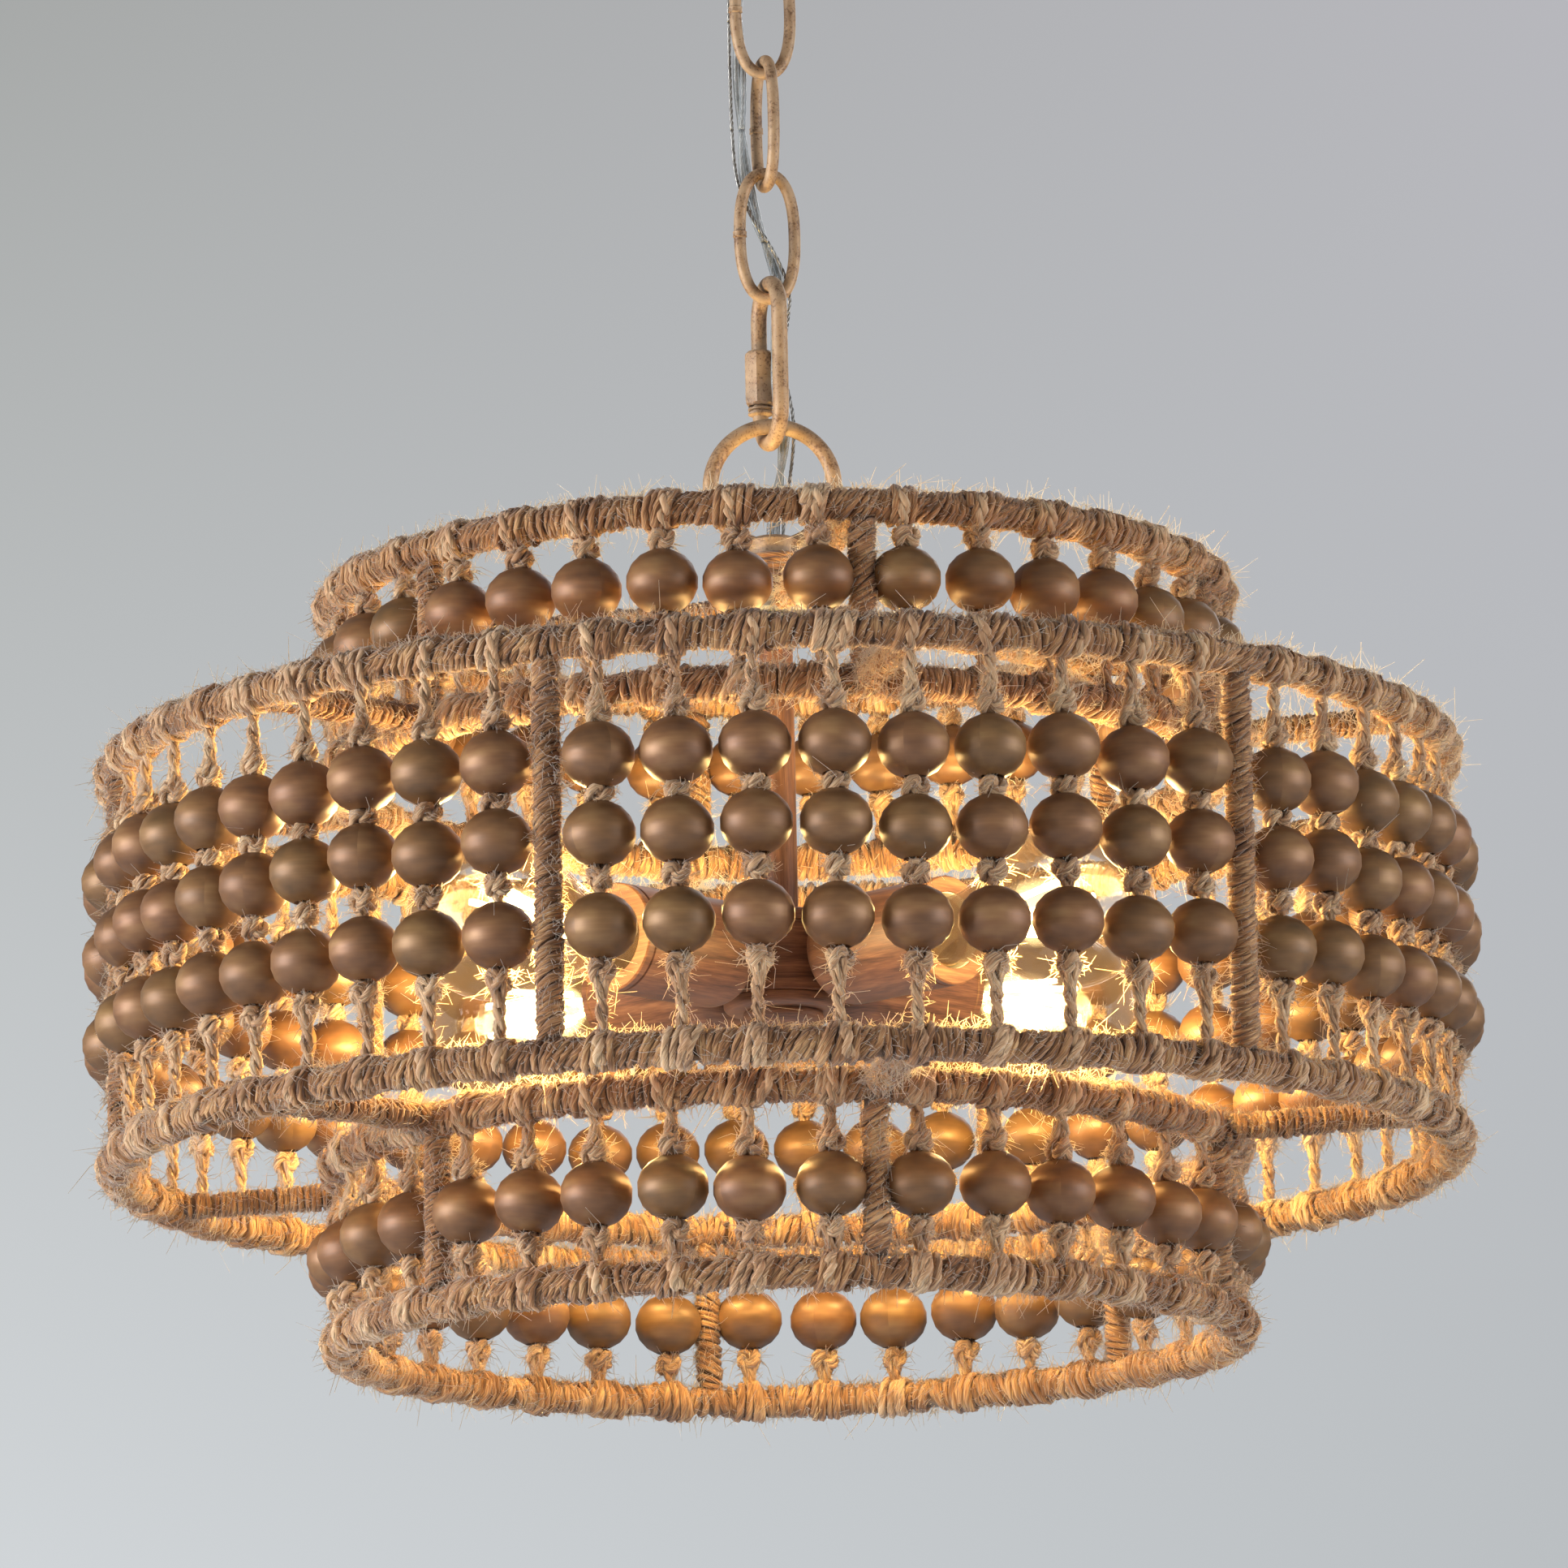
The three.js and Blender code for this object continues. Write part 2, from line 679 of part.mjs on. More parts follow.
// A wedge from the axis out, that stops half a gap short of both of its sector's sides.
function sectorWedge(start) {
  const reach = 2 * bigRingRadius;
  const middle = radians(start + sectorAngle / 2);
  const apex = gap / 2 / Math.sin(radians(sectorAngle / 2));
  const shape = new THREE.Shape();
  const [x, y] = [apex * Math.sin(middle), -apex * Math.cos(middle)];
  shape.moveTo(x, y);
  for (const a of [radians(start), radians(start + sectorAngle)]) {
    shape.lineTo(x + reach * Math.sin(a), y - reach * Math.cos(a));
  }
  shape.closePath();
  const depth = ringA - ringF + 4 * ringWrapDiameter;
  const wedge = new THREE.ExtrudeGeometry(shape, { depth, bevelEnabled: false, curveSegments: 1 });
  return wedge.translate(0, 0, ringF - 2 * ringWrapDiameter);
}
for (const tier of tiers) {
  const all = tierJute(tier);
  for (let i = 0; i < sectorCount; i += 1) {
    const sector = all.intersect(solid(sectorWedge(tier.start + i * sectorAngle)));
    piece("bead_curtain_" + tier.name + "_" + (i + 1), geometryOf(sector), jute);
  }
}

// Lamp cluster: a hollow wooden hub with four cups, a holder in each, and a screw-in bulb

const hubSides = 16;
function socketHub() {
  const [low, high] = [lampHeight - hubHeight / 2, lampHeight + hubHeight / 2];
  const outer = hubDiameter / 2;
  const edge = hubWall / 2;
  const shell = turned(
    [
      [capStemDiameter / 2 + gap, low],
      [outer - edge, low],
      [outer, low + edge],
      [outer, high - edge],
      [outer - edge, high],
      [threadBore / 2, high],
      [threadBore / 2, high - hubWall],
      [outer - hubWall, high - hubWall],
      [outer - hubWall, low + hubWall],
      [capStemDiameter / 2 + gap, low + hubWall],
      [capStemDiameter / 2 + gap, low],
    ],
    hubSides,
    180 / hubSides,
  );
  let body = solid(shell);
  for (let i = 0; i < lampCount; i += 1) {
    const azimuth = lampAzimuth + (i * 360) / lampCount;
    const [from, to] = [polar(hubWall, azimuth, lampHeight), polar(hubDiameter, azimuth, lampHeight)];
    body = body.subtract(solid(rodBetween(from, to, cupNeckDiameter / 2 + gap, 12)));
  }
  return geometryOf(body);
}
piece("socket_hub", socketHub(), darkWood);

const capTop = lampHeight - hubHeight / 2 - gap;
const hubCap = turned(
  [
    [0, capTop - hubCapHeight],
    [hubCapDiameter / 4, capTop - hubCapHeight],
    [hubCapDiameter / 2, capTop - hubCapHeight / 3],
    [hubCapDiameter / 2, capTop],
    [capStemDiameter / 2, capTop],
    [capStemDiameter / 2, capTop + capStemLength],
    [0, capTop + capStemLength],
  ],
  16,
);
piece("hub_cap", hubCap, darkWood);

// Each lamp is drawn along +Z from the hub's axis outwards, then laid level at its azimuth.
function layLamp(geometry, azimuth) {
  return geometry.rotateX(Math.PI / 2).rotateZ(radians(azimuth)).translate(0, 0, lampHeight);
}
const neckStart = hubDiameter / 2 - hubWall;
const cupEnd = cupStart + cupLength;
const cupRound = cupDiameter / 4;
function cupProfile() {
  const outer = cupDiameter / 2;
  const inner = outer - cupWall;
  return [
    [cupNeckBore / 2, neckStart],
    [cupNeckDiameter / 2, neckStart],
    [cupNeckDiameter / 2, cupStart],
    [outer - cupRound / 2, cupStart + cupRound / 4],
    [outer, cupStart + cupRound],
    [outer, cupEnd],
    [inner, cupEnd],
    [inner, cupStart + cupRound + cupWall],
    [inner - cupRound / 2, cupStart + cupRound / 4 + cupWall],
    [cupNeckBore / 2, cupStart + cupWall],
    [cupNeckBore / 2, neckStart],
  ];
}
const holderStart = cupStart + cupRound / 4 + cupWall + gap;
const holderEnd = cupEnd - holderFlange;
const socketStart = holderEnd - holderLength + holderFloor;
function holderProfile() {
  const outer = holderDiameter / 2;
  const inner = bulbBaseDiameter / 2 + holderClearance;
  return [
    [cupNeckBore / 2, holderStart],
    [cupNeckBore + holderWall, holderStart],
    [outer, holderEnd - holderLength],
    [outer, holderEnd],
    [inner, holderEnd],
    [inner, socketStart],
    [cupNeckBore / 2, socketStart],
    [cupNeckBore / 2, holderStart],
  ];
}
const baseStart = socketStart + gap + bulbContactDiameter / 4;
const baseEnd = baseStart + bulbBaseLength;
const baseWall = (bulbBaseDiameter - bulbNeckDiameter) / 2;
function bulbBaseProfile() {
  const outer = bulbBaseDiameter / 2;
  return [
    [0, baseStart - bulbContactDiameter / 4],
    [bulbContactDiameter / 2, baseStart - bulbContactDiameter / 4],
    [bulbContactDiameter / 2, baseStart],
    [outer, baseStart + bulbContactDiameter / 2],
    [outer, baseEnd],
    [outer - baseWall / 2, baseEnd],
    [outer - baseWall / 2, baseStart + bulbContactDiameter],
    [0, baseStart + bulbContactDiameter],
  ];
}
const glassStart = baseStart + bulbContactDiameter + gap;
const glassEnd = baseEnd + bulbLength;
function bulbGlassProfile() {
  const neck = bulbNeckDiameter / 2;
  const widest = baseEnd + bulbLength * bulbWidestShare;
  const shoulder = baseEnd + bulbLength * bulbShoulderShare;
  const nose = glassEnd - widest;
  const wide = bulbDiameter / 2;
  const domed = (inset) => {
    const arc = [];
    for (let i = 0; i <= 3; i += 1) {
      const a = (Math.PI * i) / 6;
      arc.push([(wide - inset) * Math.cos(a), widest + (nose - inset) * Math.sin(a)]);
    }
    arc[arc.length - 1][0] = 0;
    return arc;
  };
  const skirt = (inset) => [
    [neck - inset, glassStart],
    [neck - inset, baseEnd + bulbGlass],
    [(neck + wide) / 2 + bulbGlass - inset, shoulder],
    [wide - bulbGlass - inset, (shoulder + widest) / 2 + bulbGlass],
  ];
  return [...domed(bulbGlass).toReversed(), ...skirt(bulbGlass).toReversed(), ...skirt(0), ...domed(0)];
}
for (let i = 0; i < lampCount; i += 1) {
  const azimuth = lampAzimuth + (i * 360) / lampCount;
  const n = i + 1;
  piece("socket_cup_" + n, layLamp(turned(cupProfile(), 12), azimuth), darkWood);
  piece("lamp_holder_" + n, layLamp(turned(holderProfile(), 10), azimuth), porcelain);
  piece("bulb_base_" + n, layLamp(turned(bulbBaseProfile(), 10), azimuth), brass);
  piece("bulb_glass_" + n, layLamp(turned(bulbGlassProfile(), 10), azimuth), clearGlass);
}

// Cord with its ground wire: down beside the chain, through the top loop and down the column

const heights = [0, canopyFoot, ...linkTops, quickTop, topLoopTop, stemTop, stemFoot, lampHeight];
const cordPoints = cordRouteShares.map(([x, y, row]) => {
  const above = Math.floor(row);
  const z = THREE.MathUtils.lerp(heights[above], heights[above + 1], row - above);
  return new THREE.Vector3(x * linkWidth, y * linkWidth, z);
});
piece("supply_cord", tube(cordPoints, cordDiameter, cordSides, cordSteps), clearJacket);

const groundOffset = cordDiameter / 2 + groundDiameter / 2 + gap + threadClearance / 2;
const groundPoints = cordPoints.map((point, i) => {
  const a = radians(groundTurns[Math.min(i, groundTurns.length - 1)]);
  return point.clone().add(new THREE.Vector3(groundOffset * Math.cos(a), groundOffset * Math.sin(a), 0));
});
piece("ground_wire", tube(groundPoints, groundDiameter, groundSides, groundSteps), steel);

export default chandelier;
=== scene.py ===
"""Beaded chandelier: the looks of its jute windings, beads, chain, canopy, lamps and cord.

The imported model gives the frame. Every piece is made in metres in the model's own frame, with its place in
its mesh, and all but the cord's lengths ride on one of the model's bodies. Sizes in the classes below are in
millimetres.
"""

import logging
import math
from dataclasses import dataclass, field
from enum import Enum

import bpy
import numpy as np
from mathutils import Matrix, Vector


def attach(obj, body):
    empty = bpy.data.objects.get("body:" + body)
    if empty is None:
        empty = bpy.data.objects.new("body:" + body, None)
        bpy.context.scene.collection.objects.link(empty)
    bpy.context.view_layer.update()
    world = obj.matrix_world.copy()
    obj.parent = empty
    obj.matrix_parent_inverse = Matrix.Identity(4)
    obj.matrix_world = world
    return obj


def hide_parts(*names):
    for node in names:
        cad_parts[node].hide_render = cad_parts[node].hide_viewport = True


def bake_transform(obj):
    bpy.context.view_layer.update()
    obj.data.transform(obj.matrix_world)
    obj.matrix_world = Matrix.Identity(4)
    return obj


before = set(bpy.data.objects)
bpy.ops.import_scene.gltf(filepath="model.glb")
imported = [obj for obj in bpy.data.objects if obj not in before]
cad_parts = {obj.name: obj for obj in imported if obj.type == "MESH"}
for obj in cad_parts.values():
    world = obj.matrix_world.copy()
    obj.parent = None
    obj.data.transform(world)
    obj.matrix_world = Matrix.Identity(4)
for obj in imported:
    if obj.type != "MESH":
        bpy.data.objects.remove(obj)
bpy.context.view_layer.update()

Tree, Node, Socket = bpy.types.NodeTree, bpy.types.Node, bpy.types.NodeSocket
Array, Point = np.ndarray, tuple[float, float, float]
Piece, Outline, Sizes = bpy.types.Object, list[tuple[float, float]], float | np.ndarray

MM = 0.001
log = logging.getLogger("chandelier")


def linear(colour: str) -> tuple[float, float, float, float]:
    """Turns an sRGB hex colour into linear RGBA.

    Args:
        colour: The colour as "#RRGGBB".

    Returns:
        Red, green, blue and an alpha of one, all linear.
    """
    parts = [int(colour[i : i + 2], 16) / 255 for i in (1, 3, 5)]
    return (*[c / 12.92 if c <= 0.04045 else ((c + 0.055) / 1.055) ** 2.4 for c in parts], 1.0)


def polar(radius: float, azimuth: float, z: float) -> Array:
    """Gives the point at a radius, azimuth in degrees and height, all lengths alike."""
    a = math.radians(azimuth)
    return np.array([radius * math.sin(a), -radius * math.cos(a), z])


# Node and material helpers


def feed(tree: Tree, node: Node, inputs: dict) -> None:
    """Fills a node's inputs.

    Args:
        tree: The node tree.
        node: The node.
        inputs: Each input's name or number, with the value it holds or the output that feeds it.
    """
    for name, value in inputs.items():
        if isinstance(value, Socket):
            tree.links.new(value, node.inputs[name])
        else:
            node.inputs[name].default_value = value


def add_node(tree: Tree, kind: str, inputs: dict, **settings) -> Node:
    """Adds a shader node with its settings, values and links.

    Args:
        tree: The material's node tree.
        kind: The node's type name, without the "ShaderNode" that it starts with.
        inputs: Each input's name or number, with the value it holds or the output that feeds it.
        **settings: The node's own properties.

    Returns:
        The new node.
    """
    node = tree.nodes.new("ShaderNode" + kind)
    for name, value in settings.items():
        setattr(node, name, value)
    feed(tree, node, inputs)
    return node


def ramp(tree: Tree, factor: Socket, stops: list[tuple[float, str]]) -> Socket:
    """Adds a colour ramp.

    Args:
        tree: The material's node tree.
        factor: What the ramp reads.
        stops: Each stop's position and sRGB hex colour.

    Returns:
        The ramp's colour output.
    """
    node = add_node(tree, "ValToRGB", {"Fac": factor})
    elements = node.color_ramp.elements
    while len(elements) < len(stops):
        elements.new(0.5)
    for element, (position, colour) in zip(elements, stops):
        element.position = position
        element.color = linear(colour)
    return node.outputs["Color"]


def mixed(tree: Tree, blend: str, factor: float | Socket, first: Socket, second: tuple | Socket) -> Socket:
    """Mixes two colours.

    Args:
        tree: The material's node tree.
        blend: The blend type.
        factor: A number, or the output that sets the share of the second colour.
        first: The output that gives the first colour.
        second: A colour, or the output that gives it.

    Returns:
        The mixed colour.
    """
    inputs = {0: factor, 6: first, 7: second}
    return add_node(tree, "Mix", inputs, data_type="RGBA", blend_type=blend).outputs[2]


def math_node(tree: Tree, operation: str, *values: float | Socket) -> Socket:
    """Adds a math node on numbers or outputs and gives its value."""
    return add_node(tree, "Math", dict(enumerate(values)), operation=operation).outputs[0]


def scaled(tree: Tree, value: Socket, factor: float, more: float | Socket = 0.0) -> Socket:
    """Multiplies a value by a factor and adds more to it."""
    return math_node(tree, "MULTIPLY_ADD", value, factor, more)


def noise(tree: Tree, vector: Socket, size: float, detail: float = 3.0) -> Socket:
    """Adds a noise texture.

    Args:
        tree: The material's node tree.
        vector: The coordinates it reads.
        size: The size of its features in the coordinates' own unit.
        detail: How many finer layers it has.

    Returns:
        The noise's value.
    """
    settings = {"Vector": vector, "Scale": 1 / size, "Detail": detail, "Roughness": 0.55}
    return add_node(tree, "TexNoise", settings).outputs["Fac"]


def mapped(tree: Tree, vector: Socket, scale: Point) -> Socket:
    """Scales coordinates apart along X, Y and Z."""
    return add_node(tree, "Mapping", {"Vector": vector, "Scale": scale}).outputs["Vector"]


def object_place(tree: Tree, scale: Point = (1, 1, 1)) -> Socket:
    """Gives Object coordinates, in metres unless they are scaled."""
    return mapped(tree, add_node(tree, "TexCoord", {}).outputs["Object"], scale)


class Finish:
    """A surface finish of one of the record's slots, made into a material when a piece first asks for it."""

    name = "finish"
    slot = "steel"

    def material(self) -> bpy.types.Material:
        """Gives the finish's material, made on first use."""
        found = bpy.data.materials.get(self.name)
        if found:
            return found
        material = bpy.data.materials.new(self.name)
        material.use_nodes = True
        tree = material.node_tree
        tree.nodes.clear()
        shader = add_node(tree, "BsdfPrincipled", {})
        add_node(tree, "OutputMaterial", {"Surface": shader.outputs["BSDF"]})
        self.dress(tree, shader)
        return material

    def dress(self, tree: Tree, shader: Node) -> None:
        """Sets the shader's sockets and patterns; each finish has its own."""

    @staticmethod
    def relief(tree: Tree, shader: Node, height: Socket, depth: float, strength: float = 1.0) -> None:
        """Feeds a height to the shader's normal.

        Args:
            tree: The material's node tree.
            shader: The shader it shapes.
            height: The height, from 0 to 1.
            depth: The height of a full step in millimetres.
            strength: The share of the effect.
        """
        bump = add_node(tree, "Bump", {"Height": height, "Distance": depth * MM, "Strength": strength})
        feed(tree, shader, {"Normal": bump.outputs["Normal"]})


# Finishes


class Grain(Enum):
    """Which way the fibres of a piece of wood run."""

    LEVEL = (0.06, 0.06, 1.0)
    UPRIGHT = (1.0, 1.0, 0.06)


@dataclass(frozen=True)
class Jute(Finish):
    """Spun jute yarn: dull, hairy, with two twisted plies that show as slanting grooves, with painted shade
    darkening the grooves.
    """

    name: str = "jute_yarn"
    slot: str = "jute"
    shade: str = "#583A22"
    middle: str = "#9E6C42"
    light: str = "#D2A673"
    lay: float = 28.0
    fibre: float = 0.7
    patch: float = 14.0
    # painted shade: how much darker the colour is in the grooves between the plies
    groove_shade_share: float = 0.4
    thin: float = 0.0

    def dress(self, tree: Tree, shader: Node) -> None:
        """Draws the plies and their fibres along the yarn's own length."""
        uv = add_node(tree, "UVMap", {}, uv_map="yarn").outputs["UV"]
        along, around, _ = add_node(tree, "SeparateXYZ", {0: uv}).outputs
        angle = scaled(tree, scaled(tree, along, 1 / self.lay, around), 2 * math.pi)
        sine = math_node(tree, "SINE", angle)
        along_fibre = {0: scaled(tree, along, 0.05), 1: math_node(tree, "COSINE", angle), 2: sine}
        strands = noise(tree, add_node(tree, "CombineXYZ", along_fibre).outputs[0], self.fibre / 2, 2.0)
        groove = math_node(tree, "POWER", math_node(tree, "ABSOLUTE", sine), 0.45)
        patches = noise(tree, object_place(tree), self.patch * MM, 2.0)
        tone = scaled(tree, patches, 0.5, scaled(tree, strands, 0.75))
        colour = ramp(tree, tone, [(0.44, self.shade), (0.6, self.middle), (0.78, self.light)])
        # painted shade: the colour is darkened in the grooves between the plies
        dark = scaled(tree, groove, self.groove_shade_share, 1 - self.groove_shade_share)
        grey = add_node(tree, "CombineColor", {0: dark, 1: dark, 2: dark}).outputs[0]
        inputs = {"Base Color": mixed(tree, "MULTIPLY", 1.0, colour, grey), "Roughness": 0.92}
        inputs |= {"Specular IOR Level": 0.2, "Sheen Weight": 0.25, "Sheen Roughness": 0.6}
        if self.thin:
            inputs |= {"Transmission Weight": self.thin, "IOR": 1.12, "Sheen Weight": 1.0}
        feed(tree, shader, inputs)
        self.relief(tree, shader, scaled(tree, strands, 0.9, groove), 0.6)


@dataclass(frozen=True)
class StainedBead(Finish):
    """Turned beech bead, stained bronze-brown and waxed: satin, with a painted highlight in a band round its
    middle and painted shade towards its top and bottom.
    """

    name: str = "stained_bead_wood"
    slot: str = "bead_wood"
    dark: str = "#614530"
    middle: str = "#8E6542"
    light: str = "#B18A5C"
    olive: str = "#846A3C"
    red: str = "#8D5D40"
    tool_marks: Point = (3, 45, 1)
    clouds: Point = (5, 5, 1)
    # painted highlight and shade: lightens the stain in a band just above the middle and darkens it towards
    # the top and bottom
    painted_light_belt: tuple[tuple[float, str], ...] = (
        (0.28, "#C6C2BC"),
        (0.46, "#EDE9E0"),
        (0.54, "#FFFFF8"),
        (0.74, "#C9C4BE"),
    )
    brushed: float = 0.6

    def dress(self, tree: Tree, shader: Node) -> None:
        """Draws the lathe's marks on each bead's own map and varies the stain from bead to bead."""
        uv = add_node(tree, "UVMap", {}, uv_map="UVMap").outputs["UV"]
        tone = add_node(tree, "Attribute", {}, attribute_name="tone").outputs["Fac"]
        shifted = add_node(tree, "VectorMath", {0: uv, 1: tone}, operation="ADD").outputs[0]
        marks = noise(tree, mapped(tree, shifted, self.tool_marks), 1.0, 3.0)
        clouds = noise(tree, mapped(tree, shifted, self.clouds), 1.0, 2.0)
        both = scaled(tree, marks, 0.18, scaled(tree, clouds, 0.82))
        colour = ramp(tree, both, [(0.26, self.dark), (0.5, self.middle), (0.78, self.light)])
        stain = ramp(tree, tone, [(0.1, self.olive), (0.5, self.middle), (0.9, self.red)])
        height = add_node(tree, "SeparateXYZ", {0: uv}).outputs[1]
        colour = mixed(tree, "MIX", 0.28, colour, stain)
        # painted highlight and shade: the colour is multiplied lighter in a band round the middle and darker
        # towards the top and bottom
        colour = mixed(tree, "MULTIPLY", 1.0, colour, ramp(tree, height, self.painted_light_belt))
        around = add_node(tree, "Tangent", {}, direction_type="UV_MAP", uv_map="UVMap").outputs[0]
        inputs = {"Base Color": colour, "Metallic": 0.25, "Roughness": scaled(tree, marks, 0.16, 0.36)}
        inputs |= {"Anisotropic": self.brushed, "Tangent": around, "Specular IOR Level": 0.5}
        feed(tree, shader, inputs)
        self.relief(tree, shader, both, 0.05, 0.5)


@dataclass(frozen=True)
class DarkWood(Finish):
    """Turned hardwood stained walnut, oiled: long streaks and open pores, with a soft shine."""

    name: str = "walnut_stained_wood"
    slot: str = "dark_wood"
    grain: Grain = Grain.LEVEL
    dark: str = "#452A1B"
    middle: str = "#724C35"
    light: str = "#93694A"
    streak: float = 2.2
    pore: float = 0.45

    def dress(self, tree: Tree, shader: Node) -> None:
        """Draws streaks and pores along the grain."""
        place = object_place(tree, self.grain.value)
        streaks, pores = noise(tree, place, self.streak * MM, 4.0), noise(tree, place, self.pore * MM, 2.0)
        both = scaled(tree, pores, 0.4, scaled(tree, streaks, 0.6))
        colour = ramp(tree, both, [(0.34, self.dark), (0.52, self.middle), (0.7, self.light)])
        feed(tree, shader, {"Base Color": colour, "Roughness": scaled(tree, pores, 0.25, 0.38)})
        self.relief(tree, shader, both, 0.12, 0.7)


@dataclass(frozen=True)
class DistressedPaint(Finish):
    """Steel under beige-tan paint, rubbed by hand: speckled with brown and worn darker in patches."""

    name: str = "distressed_beige_paint"
    slot: str = "painted_metal"
    pale: str = "#AC9070"
    middle: str = "#8E7052"
    brown: str = "#5B3C25"
    patch: float = 6.0
    speck: float = 0.9

    def dress(self, tree: Tree, shader: Node) -> None:
        """Lays pale paint over brown, with patches and speckles rubbed through."""
        place = object_place(tree)
        patches, specks = noise(tree, place, self.patch * MM, 4.0), noise(tree, place, self.speck * MM, 3.0)
        paint = ramp(tree, patches, [(0.3, self.middle), (0.68, self.pale)])
        rubbed = scaled(tree, patches, 0.45, scaled(tree, specks, 0.75))
        worn = scaled(tree, ramp(tree, rubbed, [(0.46, "#FFFFFF"), (0.58, "#000000")]), 0.8)
        colour = mixed(tree, "MIX", worn, paint, linear(self.brown))
        inputs = {"Base Color": colour, "Metallic": 0.15, "Roughness": scaled(tree, specks, 0.3, 0.36)}
        feed(tree, shader, inputs)
        self.relief(tree, shader, rubbed, 0.15, 0.6)


@dataclass(frozen=True)
class Patina(Finish):
    """A plated, rolled or glazed surface with soft patches of another shade; the steel's are the defaults."""

    name: str = "zinc_plated_steel"
    slot: str = "steel"
    bright: str = "#B4B2AD"
    dull: str = "#8C8983"
    patch: float = 3.0
    detail: float = 3.0
    stops: tuple[float, float] = (0.35, 0.65)
    roughness: tuple[float, float] = (0.32, 0.2)
    relief_depth: float = 0.03
    relief_strength: float = 0.4
    metallic: float = 1.0
    coat: float = 0.0

    def dress(self, tree: Tree, shader: Node) -> None:
        """Draws the patches, which change the gloss too where the roughness has a second share."""
        patches = noise(tree, object_place(tree), self.patch * MM, self.detail)
        colour = ramp(tree, patches, [(self.stops[0], self.dull), (self.stops[1], self.bright)])
        inputs = {"Base Color": colour, "Metallic": self.metallic, "Roughness": self.roughness[0]}
        if self.roughness[1]:
            inputs["Roughness"] = scaled(tree, patches, self.roughness[1], self.roughness[0])
        if self.coat:
            inputs |= {"Coat Weight": self.coat, "Coat Roughness": 0.08}
        feed(tree, shader, inputs)
        self.relief(tree, shader, patches, self.relief_depth, self.relief_strength)


@dataclass(frozen=True)
class BulbGlass(Finish):
    """Blown clear glass, thin enough to see straight through and lit warm from within."""

    name: str = "blown_clear_glass"
    slot: str = "clear_glass"
    tint: str = "#1A1612"
    glow: str = "#FFBE7C"
    body_share: float = 0.05
    rim_share: float = 0.55
    warmth: float = 0.22
    ripple: float = 18.0

    def dress(self, tree: Tree, shader: Node) -> None:
        """Lets light straight through the wall and keeps the gloss of its rim."""
        rim = add_node(tree, "Fresnel", {"IOR": 1.45}).outputs[0]
        ripple = noise(tree, object_place(tree), self.ripple * MM, 2.0)
        inputs = {"Alpha": scaled(tree, rim, self.rim_share, self.body_share), "Roughness": 0.03}
        inputs |= {"Base Color": linear(self.tint), "Emission Color": linear(self.glow)}
        inputs["Emission Strength"] = scaled(tree, ripple, self.warmth, self.warmth / 2)
        feed(tree, shader, inputs)
        self.relief(tree, shader, ripple, 0.3, 0.15)


@dataclass(frozen=True)
class Filament(Finish):
    """Glowing wire of a lit lamp: warm yellow-white light, a little uneven along its length."""

    name: str = "glowing_filament"
    slot: str = "filament"
    light: str = "#FFD89A"
    strength: float = 45.0

    def dress(self, tree: Tree, shader: Node) -> None:
        """Makes the wire glow."""
        coils = noise(tree, object_place(tree), 2 * MM, 1.0)
        inputs = {"Base Color": linear(self.light), "Emission Color": linear(self.light)}
        inputs["Emission Strength"] = scaled(tree, coils, self.strength, self.strength / 2)
        feed(tree, shader, inputs)


@dataclass(frozen=True)
class HotGlass(Finish):
    """The clear jacket close round a lit filament: its middle drowned in light, its edges clear."""

    name: str = "hot_filament_jacket"
    slot: str = "clear_glass"
    tint: str = "#1A1612"
    light: str = "#FFD692"
    strength: float = 2.9
    body_share: float = 0.8

    def dress(self, tree: Tree, shader: Node) -> None:
        """Fades the light out towards the jacket's edges."""
        edge = add_node(tree, "LayerWeight", {"Blend": 0.5}).outputs["Facing"]
        clear = math_node(tree, "POWER", math_node(tree, "SUBTRACT", 1.0, edge), 2.2)
        waves = noise(tree, object_place(tree), 12 * MM, 2.0)
        share = scaled(tree, waves, 0.2, self.body_share - 0.1)
        inputs = {"Alpha": math_node(tree, "MULTIPLY", clear, share), "Base Color": linear(self.tint)}
        inputs |= {"Emission Color": linear(self.light), "Emission Strength": self.strength}
        feed(tree, shader, inputs)


@dataclass(frozen=True)
class ClearJacket(Finish):
    """Clear soft vinyl over the wires: glossy at its edges, faintly grey, see-through in the middle."""

    name: str = "clear_vinyl_jacket"
    slot: str = "clear_jacket"
    tint: str = "#D7DCDD"
    dusty: str = "#C3C9CB"
    body_share: float = 0.16
    rim_share: float = 1.1

    def dress(self, tree: Tree, shader: Node) -> None:
        """Lets the wires inside show and keeps the vinyl's gloss."""
        rim = add_node(tree, "Fresnel", {"IOR": 1.5}).outputs[0]
        dust = noise(tree, object_place(tree), 2.5 * MM, 3.0)
        share = scaled(tree, dust, 0.12, scaled(tree, rim, self.rim_share, self.body_share))
        colour = ramp(tree, dust, [(0.3, self.dusty), (0.7, self.tint)])
        feed(tree, shader, {"Alpha": share, "Base Color": colour, "Roughness": 0.12})
        self.relief(tree, shader, dust, 0.05, 0.3)


